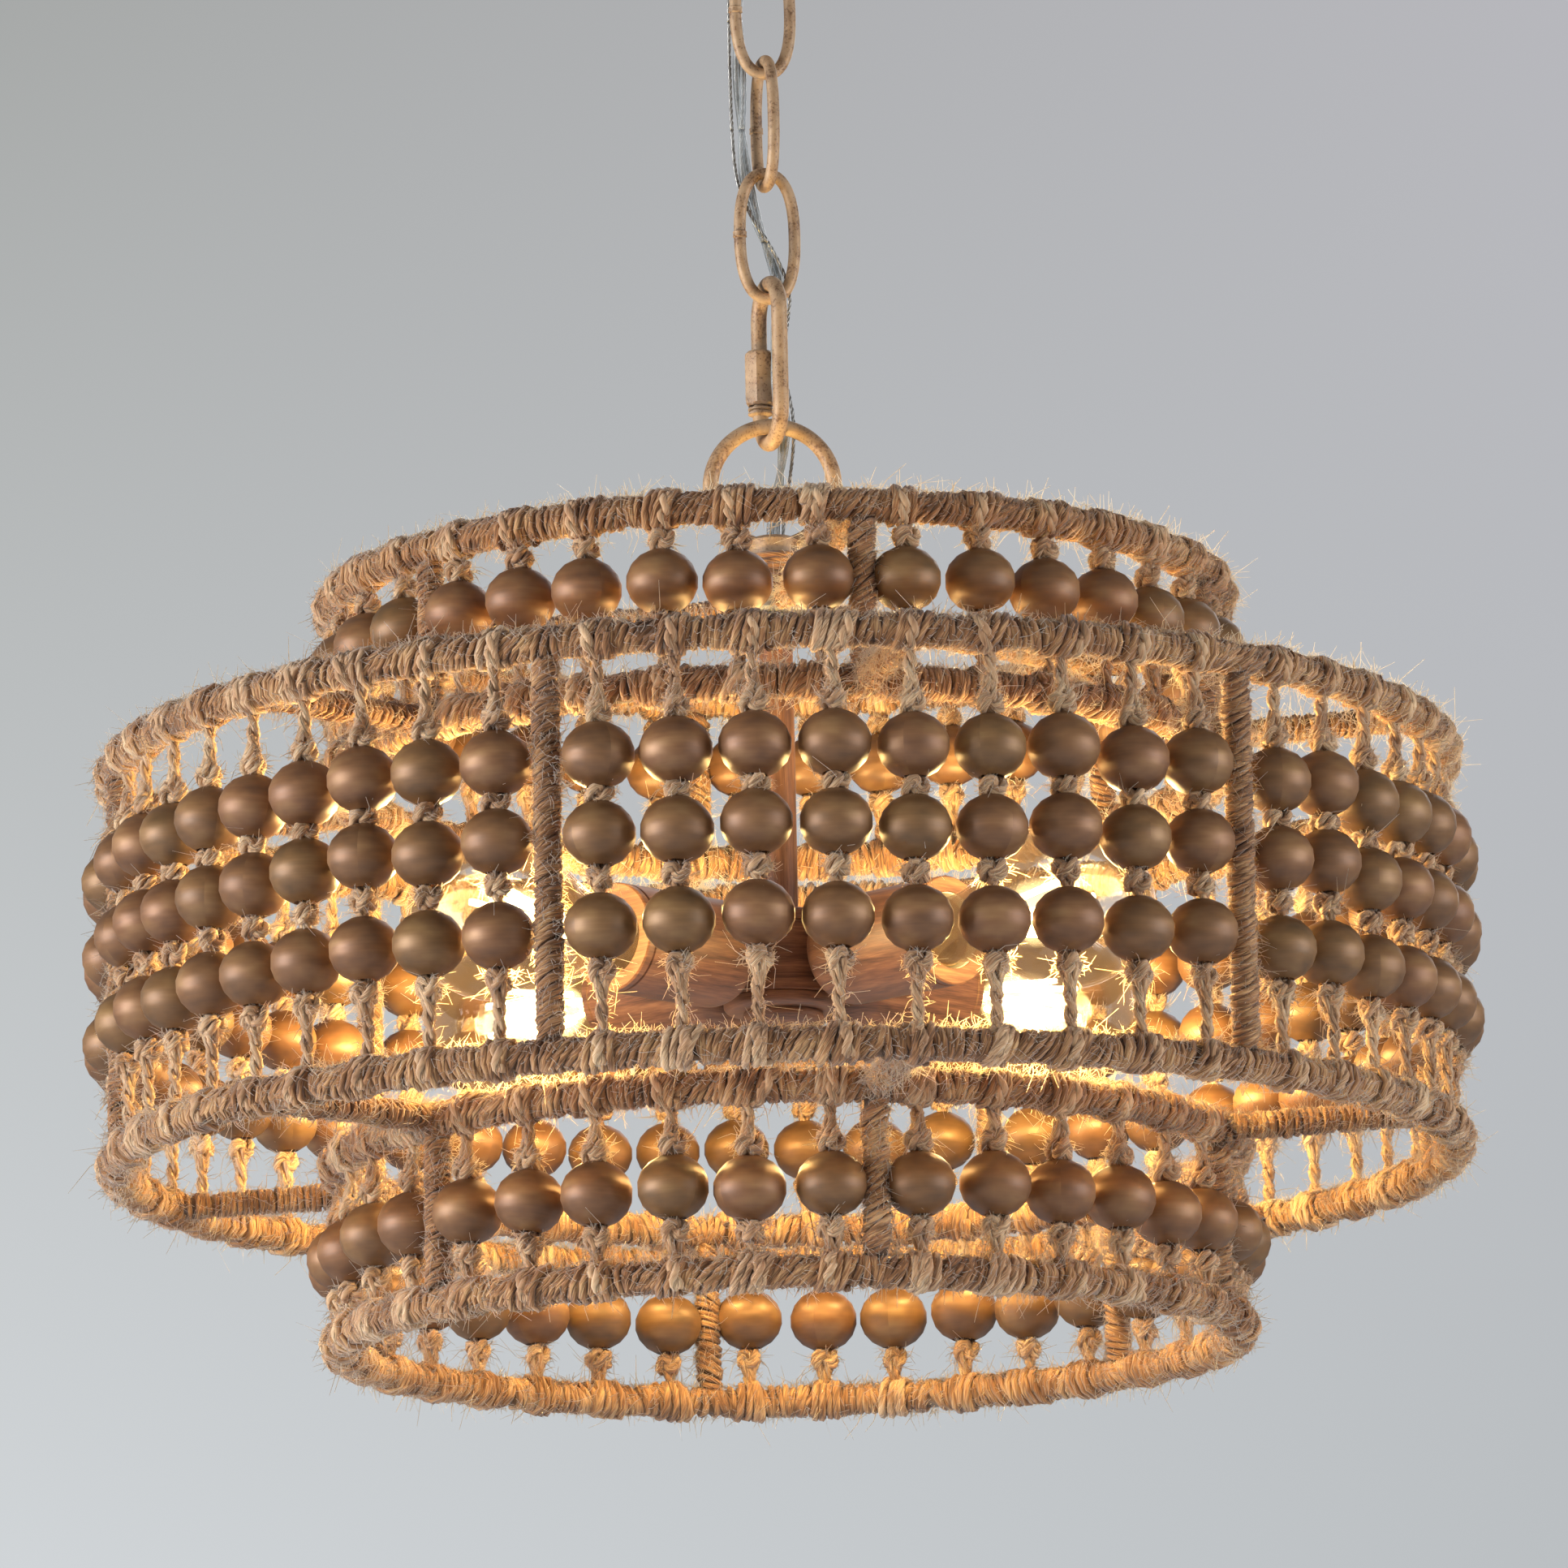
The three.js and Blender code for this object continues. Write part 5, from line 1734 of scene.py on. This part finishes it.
@dataclass
class Lamps:
    """The turned hub with its cap, and four lamps: cup, holder, screw shell, glass and filament."""

    height: float = -441.0
    count: int = 4
    first: float = 45.0
    hub: float = 44.0
    hub_height: float = 36.0
    wall: float = 4.0
    column_hole: float = 13.3
    cap: float = 30.0
    cap_height: float = 6.0
    cap_stem: float = 8.0
    neck: float = 14.0
    neck_start: float = 18.0
    neck_bore: float = 7.0
    cup: float = 40.0
    cup_wall: float = 2.0
    cup_start: float = 27.0
    cup_end: float = 87.0
    holder: float = 33.0
    holder_start: float = 31.8
    holder_end: float = 86.0
    socket_start: float = 56.0
    shell: float = 26.0
    shell_start: float = 60.8
    shell_end: float = 83.55
    contact: float = 9.0
    thread_pitch: float = 3.62
    thread_depth: float = 0.75
    glass: float = 60.0
    glass_neck: float = 24.0
    glass_start: float = 70.1
    glass_widest: float = 145.6
    glass_end: float = 177.55
    glass_wall: float = 0.9
    legs: int = 6
    leg_wire: float = 2.4
    leg_radii: tuple[float, float] = (5.0, 11.5)
    leg_ends: tuple[float, float] = (112.0, 148.0)
    jacket: float = 26.0
    jacket_length: float = 44.64

    def azimuths(self) -> list[float]:
        """Gives each lamp's azimuth."""
        return [self.first + number * 360 / self.count for number in range(self.count)]

    def build(self) -> None:
        """Builds the hub and its cap, then each lamp."""
        self.hub_block()
        self.hub_knob()
        for number, azimuth in enumerate(self.azimuths(), 1):
            lay = shift(0, 0, self.height) @ turn_z(azimuth) @ Matrix.Rotation(math.pi / 2, 4, "X")
            self.cup_piece(number, lay)
            self.holder_piece(number, lay)
            self.shell_piece(number, lay)
            self.glass_piece(number, lay)
            self.filament_piece(number, lay)

    def hub_block(self) -> None:
        """Turns the hollow hub with two fine grooves round it, and drills it for the cups' necks."""
        out, hole, column = self.hub / 2, self.cap_stem / 2 + 0.3, self.column_hole / 2
        low, high = self.height - self.hub_height / 2, self.height + self.hub_height / 2
        outline = [(hole, low)] + arc_points((out - 2.5, low + 2.5), 2.5, -90, 0, 5)
        for groove in (low + 5, high - 5):
            outline += [(out, groove - 0.5), (out - 0.6, groove), (out, groove + 0.5)]
        outline += arc_points((out - 2.5, high - 2.5), 2.5, 0, 90, 5)
        outline += [(column, high), (column, high - self.wall), (out - self.wall, high - self.wall)]
        outline += [(out - self.wall, low + self.wall), (hole, low + self.wall)]
        hub = turned("hub_block", outline, 72, closed=True)
        for azimuth in self.azimuths():
            turn = (math.pi / 2, 0, math.radians(azimuth))
            drilled(hub, self.neck / 2 + 0.25, 20, 40, polar(out, azimuth, self.height), turn)
        finished(smooth(hub, 35), WALNUT, "fixture", ("socket_hub",))

    def hub_knob(self) -> None:
        """Turns the cap below the hub with its stem."""
        top = self.height - self.hub_height / 2 - 0.3
        radius, stem, foot = self.cap / 2, self.cap_stem / 2, top - self.cap_height
        outline = [(0, foot), (radius * 0.45, foot), (radius * 0.62, foot + 0.5), (radius * 0.85, foot + 1.7)]
        outline += [(radius - 0.3, foot + 3.4), (radius, foot + 4.4), (radius - 0.4, top), (stem, top)]
        outline += [(stem, top + 5.6), (stem - 0.4, top + 6), (0, top + 6)]
        finished(turned("hub_knob", outline, 56), WALNUT, "fixture", ("hub_cap",))

    def cup_piece(self, number: int, lay: Matrix) -> None:
        """Turns one cup: a thin neck, a rounded shoulder, and a thin lip turned in over the holder."""
        out, inner, start, end = self.cup / 2, self.cup / 2 - self.cup_wall, self.cup_start, self.cup_end
        neck, bore, lip = self.neck / 2, self.neck_bore / 2, self.shell / 2 + 1.0
        outline = [(bore, self.neck_start), (neck - 0.4, self.neck_start), (neck, self.neck_start + 0.4)]
        outline += [(neck, start)] + arc_points((out - 9.5, start + 9.8), 9.5, -88, -4, 10)
        outline += [(out, start + 11), (out, end - 4.2), (out - 0.5, end - 3.8), (out - 0.5, end - 3.3)]
        outline += [(out, end - 2.9), (out, end - 0.6), (out - 0.6, end)]
        outline += [(lip + 0.3, end), (lip, end - 0.3), (lip + 0.3, end - 0.7), (inner, end - 0.7)]
        outline += [(inner, start + 11)] + arc_points((inner - 8, start + 11), 8, 0, -80, 8)
        outline += [(bore, start + 3.0)]
        cup = placed(turned(f"wood_cup_{number}", outline, 64, closed=True), lay)
        finished(cup, WALNUT, "fixture", (f"socket_cup_{number}",))

    def holder_piece(self, number: int, lay: Matrix) -> None:
        """Turns one porcelain holder with its socket and a rounded lip."""
        out, inner, start, end = self.holder / 2, self.shell / 2 + 0.9, self.holder_start, self.holder_end
        bore, floor = 3.5, self.socket_start
        outline = [(bore, start), (8.6, start), (9.4, start + 0.8), (out - 2, 49), (out, 51)]
        outline += [(out, end - 1.6)] + arc_points((out - 1.2, end - 1.2), 1.2, 0, 90, 4)
        outline += [(inner + 0.6, end), (inner, end - 0.6), (inner, floor), (bore, floor)]
        holder = placed(turned(f"porcelain_holder_{number}", outline, 48, closed=True), lay)
        finished(holder, PORCELAIN, "fixture", (f"lamp_holder_{number}",))

    def shell_piece(self, number: int, lay: Matrix) -> None:
        """Turns one lamp's screw shell with its rolled thread and its foot contact."""
        out, start, end, tip = self.shell / 2, self.shell_start, self.shell_end, self.contact / 2
        outline = [(0, start - 2.2), (tip - 1, start - 2.2), (tip, start - 1), (tip + 0.6, start)]
        outline += [(out - 2.5, start + 4)]
        for z in np.linspace(start + 5, end - 3.5, 37):
            wave = (1 + math.cos(2 * math.pi * (z - start - 5) / self.thread_pitch)) / 2
            outline.append((out - self.thread_depth * wave, float(z)))
        outline += [(out - 0.4, end - 2), (out - 0.2, end), (out - 0.8, end)]
        outline += [(out - 1.4, start + 7), (0, start + 7)]
        shell = placed(turned(f"screw_shell_{number}", outline, 40), lay)
        finished(shell, BRASS, f"bulb_{number}", (f"bulb_base_{number}",))

    def glass_line(self, inset: float) -> Outline:
        """Gives the envelope's outline from its neck to its nose, set in by a wall."""
        neck, wide = self.glass_neck / 2 - inset, self.glass / 2 - inset
        nose = self.glass_end - self.glass_widest - inset
        z = np.linspace(self.shell_end + 1, self.glass_widest, 15)
        share = (z - z[0]) / (z[-1] - z[0])
        swell = 0.5 - 0.5 * np.cos(np.pi * share**1.12)
        line = [(neck, self.glass_start)]
        line += [(neck + (wide - neck) * float(s), float(h)) for s, h in zip(swell, z)]
        angles = np.radians(np.linspace(0, 90, 12)[1:-1])
        line += [(wide * math.cos(a), self.glass_widest + nose * math.sin(a)) for a in angles]
        return [*line, (0.0, self.glass_widest + nose)]

    def glass_piece(self, number: int, lay: Matrix) -> None:
        """Blows one lamp's envelope as an outer and an inner skin closed at the neck."""
        outline = self.glass_line(self.glass_wall)[::-1] + self.glass_line(0)
        glass = placed(turned(f"glass_envelope_{number}", outline, 56), lay)
        finished(glass, BulbGlass(), f"bulb_{number}", (f"bulb_glass_{number}",))

    def filament_piece(self, number: int, lay: Matrix) -> None:
        """Bends one lamp's filament of leaning legs, and turns its jacket and glass mount."""
        body, legs = f"bulb_{number}", []
        for leg in range(self.legs):
            way = circle(np.array([2 * math.pi / self.legs * leg + 0.4]))[0]
            ends = [radius * way + (0, 0, z) for radius, z in zip(self.leg_radii, self.leg_ends)]
            legs.append(wire(f"filament_leg_{leg}", np.linspace(*ends, 8), self.leg_wire, rounds=2))
        finished(placed(joined(f"filament_{number}", legs), lay), Filament(), body)
        wide, long, middle = self.jacket / 2, self.jacket_length / 2, sum(self.leg_ends) / 2
        angles = np.radians(np.linspace(-90, 90, 17)[1:-1])
        oval = [(wide * math.cos(a), middle + long * math.sin(a)) for a in angles]
        oval = [(0.0, middle - long), *oval, (0.0, middle + long)]
        jacket = placed(turned(f"filament_jacket_{number}", oval, 32), lay)
        finished(jacket, HotGlass(), body)
        outline = [(0, 72.0), (10.4, 72.0), (7.5, 78.0), (3.6, 88.0), (2.6, 100.0), (2.4, 110.0)]
        outline += [(3.4, 112.0), (2.2, 114.5), (1.1, 118.0), (1.0, 146.0), (1.8, 149.0), (0, 150.5)]
        mount = placed(turned(f"glass_mount_{number}", outline, 24), lay)
        finished(mount, MOUNT_GLASS, body)


@dataclass
class Cord:
    """The clear two-core cord and the bare earth wire, woven down the chain in five lengths.

    The route is the cord's middle from the ceiling down. At each of its points the earth wire lies beside it,
    earth_offset away, at an angle of earth_turns degrees from X towards Y.
    """

    core: float = 2.7
    core_offset: float = 1.25
    cord_lay: float = 90.0
    conductor: float = 0.62
    conductor_offset: float = 0.36
    conductor_lay: float = 9.0
    earth: float = 0.72
    earth_lay: float = 7.0
    earth_offset: float = 3.7
    step: float = 1.5
    route: tuple[Point, ...] = (
        (0.2, 0, -10), (0.2, 0, -20), (0.2, 0, -30), (-3.2, 1, -38), (-7, 3, -45), (-9, 4.6, -54),
        (-9.2, 5, -66), (-9.2, 5, -82), (-9.2, 5, -98), (-9, 5, -113), (-8.6, 5, -126), (-7.8, 4.4, -137),
        (-6.2, 3, -147), (-3.8, 2, -157), (-0.2, 3.6, -167), (3, 6.8, -176), (4.4, 8, -184), (3.4, 7.8, -193),
        (2, 7.2, -204), (2.4, 7, -218), (4.4, 7.2, -230), (4.6, 7.4, -240), (3.6, 7, -250), (2.2, 4.6, -260),
        (0.8, 1.8, -269), (0, 0, -278), (0, 0, -300), (0, 0, -350), (0, 0, -400), (0, 0, -428),
    )
    earth_turns: tuple[float, ...] = (
        (247,) * 5 + (235, 205, 190, 190, 190, 190, 195, 215, 250, 290, 318, 340) + (360,) * 13
    )
    bodies: tuple[str, ...] = (
        "ceiling_set", "chain_link_1", "chain_link_2", "chain_link_3", "quick_link_body", "fixture",
    )
    joints: tuple[float, ...] = (-56.5, -99.95, -143.65, -187.35, -242.8)
    reach: float = 7.0

    def build(self) -> None:
        """Lays both along the route and parts them midway between the chain's joints."""
        route, beside = np.array(self.route), circle(np.radians(self.earth_turns)) * self.earth_offset
        line, earth = self.smoothed(route), self.smoothed(route + beside)
        middles = [(a + b) / 2 for a, b in zip(self.joints, self.joints[1:])]
        for number, (high, low) in enumerate(zip([0.0, *middles], [*middles, -math.inf])):
            self.length_of(line, self.part(line, high, low), number)
            self.earth_of(earth, self.part(earth, high, low), number)

    def smoothed(self, points: Array) -> Array:
        """Draws one smooth curve through the points and steps evenly along it."""
        padded = np.concatenate([2 * points[:1] - points[1:2], points, 2 * points[-1:] - points[-2:-1]])
        found = []
        for a, b, c, d in zip(padded, padded[1:], padded[2:], padded[3:]):
            t = np.linspace(0, 1, 16, endpoint=False)[:, None]
            square, cube = 2 * a - 5 * b + 4 * c - d, 3 * b - 3 * c + d - a
            found.append(0.5 * (2 * b + (c - a) * t + square * t**2 + cube * t**3))
        return even(np.concatenate([*found, points[-1:]]), step=self.step)

    @staticmethod
    def across(line: Array) -> tuple[Array, Array]:
        """Gives two directions square to a line and to each other, at each of its points."""
        tangent = unit(np.gradient(line, axis=0))
        first = unit(np.array([1.0, 0, 0]) - tangent[:, :1] * tangent)
        return first, np.cross(tangent, first)

    def strand(self, line: Array, offset: float, lay: float, phase: float) -> tuple[Array, Array]:
        """Winds a strand round a line.

        Args:
            line: The line's points, evenly stepped.
            offset: How far from it the strand lies.
            lay: The length of one turn.
            phase: Where the first turn starts.

        Returns:
            The strand's points and the direction away from the line at each.
        """
        first, second = self.across(line)
        a = (phase + 2 * np.pi * self.step / lay * np.arange(len(line)))[:, None]
        away = first * np.cos(a) + second * np.sin(a)
        return line + offset * away, away

    def part(self, line: Array, high: float, low: float) -> slice:
        """Gives the stretch of a line between two heights, with the points it shares."""
        inside = np.flatnonzero((line[:, 2] <= high) & (line[:, 2] >= low))
        return slice(max(inside[0] - 1, 0), inside[-1] + 1)

    def thirds(
        self, bundle: YarnBundle, line: Array, part: slice, size: float, offset: float, lay: float
    ) -> None:
        """Twists three strands round one stretch of a line.

        Args:
            bundle: What they join.
            line: The line's points.
            part: The stretch.
            size: Each strand's diameter.
            offset: How far from the line each lies.
            lay: The length of one turn.
        """
        for third in range(3):
            thread, out = self.strand(line, offset, lay, third * 2 * np.pi / 3)
            bundle.lay(thread[part], out[part], size, size, 6)

    def length_of(self, line: Array, part: slice, number: int) -> None:
        """Makes one length of the cord: the clear jacket and the wires inside it.

        Args:
            line: The cord's line.
            part: The stretch of it.
            number: The length's number, from 0.
        """
        jacket, wires = YarnBundle(), YarnBundle()
        for half in (0, np.pi):
            core, away = self.strand(line, self.core_offset, self.cord_lay, half)
            jacket.lay(core[part], away[part], self.core, self.core, 14)
            self.thirds(wires, core, part, self.conductor, self.conductor_offset, self.conductor_lay)
        nodes = () if number else ("supply_cord",)
        self.bent(jacket.piece(f"cord_jacket_{number + 1}"), ClearJacket(), number, nodes)
        self.bent(wires.piece(f"cord_wires_{number + 1}"), TINNED, number)

    def earth_of(self, line: Array, part: slice, number: int) -> None:
        """Makes one length of the bare earth wire, three strands twisted together.

        Args:
            line: The wire's line.
            part: The stretch of it.
            number: The length's number, from 0.
        """
        bundle = YarnBundle()
        self.thirds(bundle, line, part, self.earth, self.earth * 0.56, self.earth_lay)
        nodes = () if number else ("ground_wire",)
        self.bent(bundle.piece(f"earth_wire_{number + 1}"), TINNED, number, nodes)

    def bent(self, piece: Piece, finish: Finish, number: int, nodes: tuple[str, ...] = ()) -> None:
        """Gives a length its finish, with its place applied to its mesh.

        Args:
            piece: The length.
            finish: Its surface finish.
            number: Its number and the joint's, from 0.
            nodes: The model's nodes that it stands for.
        """
        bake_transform(piece)
        dressed(piece, finish, nodes, f"across joint {number + 1}")


# Camera, light and floor


@dataclass
class Studio:
    """The camera at the photograph's angle, soft lamps, a pale floor and a pale blue-grey surround.

    Places and sizes are in metres here, and the lens and sensor in millimetres. Each soft lamp has its name,
    place, side and watts.
    """

    camera_place: Point = (0.0020, -3.3108, -1.0620)
    pitch: float = 11.757
    roll: float = -1.193
    lens: float = 209.7
    sensor: float = 36.0
    floor_height: float = -1.6
    floor_size: float = 60.0
    floor_colour: str = "#EEF0F2"
    # painted light and shade on the surround: the upper colours are darker, the lower ones lighter, each
    # graded from left to right
    wall_shaded_top: tuple[str, str] = ("#A7A9A8", "#B7B7BC")
    wall_lit_bottom: tuple[str, str] = ("#D1D5D8", "#BBBFC2")
    wall_slope: float = 5.9
    wall_starts: tuple[float, float] = (0.5, 1.7)
    ambient: float = 0.34
    ambient_colour: str = "#E8ECF2"
    soft_colour: str = "#F4F6FA"
    soft_lamps: tuple[tuple[str, Point, float, float], ...] = (
        ("key_lamp", (-2.9, -1.0, -0.4), 1.6, 125.0),
        ("fill_lamp", (2.9, -1.0, -0.3), 1.8, 66.0),
        ("back_lamp", (0.6, 2.2, 0.7), 1.6, 24.0),
    )
    aim: Point = (0, 0, -0.4)
    lamp_glow: float = 4.1
    lamp_colour: str = "#FFDD90"
    lamp_radius: float = 0.014
    lamp_reach: float = 0.136

    def build(self) -> None:
        """Sets up everything that isn't part of the object."""
        self.camera()
        self.surround()
        self.floor()
        for lamp in self.soft_lamps:
            self.soft_lamp(*lamp)
        for number, azimuth in enumerate(Lamps().azimuths(), 1):
            self.bulb_light(number, azimuth)
        bpy.context.scene.view_settings.view_transform = "Standard"

    def camera(self) -> None:
        """Places the camera."""
        data = bpy.data.cameras.new("camera")
        data.lens, data.sensor_width, data.sensor_fit = self.lens, self.sensor, "AUTO"
        data.clip_start, data.clip_end = 0.05, 50
        camera = linked("camera", data)
        up = Matrix.Rotation(math.radians(90 + self.pitch), 4, "X")
        roll = Matrix.Rotation(math.radians(self.roll), 4, "Z")
        camera.matrix_world = Matrix.Translation(self.camera_place) @ up @ roll
        bpy.context.scene.camera = camera

    def surround(self) -> None:
        """Colours the surround for the camera, with painted light and shade on it, darker at the top and
        lighter lower down, and lights the object evenly from all round.
        """
        world = bpy.data.worlds.new("surround")
        world.use_nodes = True
        tree = world.node_tree
        tree.nodes.clear()
        place = add_node(tree, "TexCoord", {}).outputs["Generated"]
        parts = add_node(tree, "SeparateXYZ", {0: place}).outputs
        across = scaled(tree, parts[0], self.wall_slope, self.wall_starts[0])
        down = scaled(tree, parts[2], -self.wall_slope, self.wall_starts[1])
        high, low = (ramp(tree, across, list(enumerate(wall))) for wall in (self.wall_shaded_top, self.wall_lit_bottom))
        seen = mixed(tree, "MIX", add_node(tree, "Clamp", {0: down}).outputs[0], high, low)
        rays = add_node(tree, "LightPath", {})
        shown = math_node(tree, "MAXIMUM", rays.outputs["Is Camera Ray"], rays.outputs["Is Transmission Ray"])
        even_light = {"Color": linear(self.ambient_colour), "Strength": self.ambient}
        sides = [add_node(tree, "Background", side).outputs[0] for side in (even_light, {"Color": seen})]
        both = add_node(tree, "MixShader", {0: shown, 1: sides[0], 2: sides[1]})
        add_node(tree, "OutputWorld", {"Surface": both.outputs[0]})
        bpy.context.scene.world = world

    def floor(self) -> None:
        """Lays a plain pale floor well below the shade."""
        deselect()
        bpy.ops.mesh.primitive_plane_add(size=self.floor_size, location=(0, 0, self.floor_height))
        floor = bpy.context.object
        floor.name = "floor"
        material = bpy.data.materials.new("pale_floor")
        material.use_nodes = True
        shader = material.node_tree.nodes["Principled BSDF"]
        feed(material.node_tree, shader, {"Base Color": linear(self.floor_colour), "Roughness": 0.9})
        floor.data.materials.append(material)

    def soft_lamp(self, name: str, place: Point, size: float, power: float) -> None:
        """Hangs one soft lamp that faces the shade.

        Args:
            name: Its name.
            place: Where it hangs.
            size: The length of its side.
            power: Its power in watts.
        """
        data = bpy.data.lights.new(name, "AREA")
        data.size, data.energy, data.color = size, power, linear(self.soft_colour)[:3]
        aim = Vector(self.aim) - Vector(place)
        turn = aim.to_track_quat("-Z", "Y").to_matrix().to_4x4()
        linked(name, data).matrix_world = Matrix.Translation(place) @ turn

    def bulb_light(self, number: int, azimuth: float) -> None:
        """Lights one bulb from inside, warm and small, for the glow on the jute and beads round it."""
        data = bpy.data.lights.new(f"bulb_light_{number}", "POINT")
        data.energy, data.color = self.lamp_glow, linear(self.lamp_colour)[:3]
        data.shadow_soft_size = self.lamp_radius
        linked(data.name, data).location = polar(self.lamp_reach, azimuth, Lamps.height * MM)


def main() -> None:
    """Builds the chandelier and its studio."""
    logging.basicConfig(level=logging.INFO, format="%(name)s: %(message)s")
    for assembly in (Studio(), Cord(), Canopy(), Chain(), QuickLink(), Stem(), Shade(), Lamps()):
        assembly.build()
    deselect()


if __name__ == "__main__":
    main()
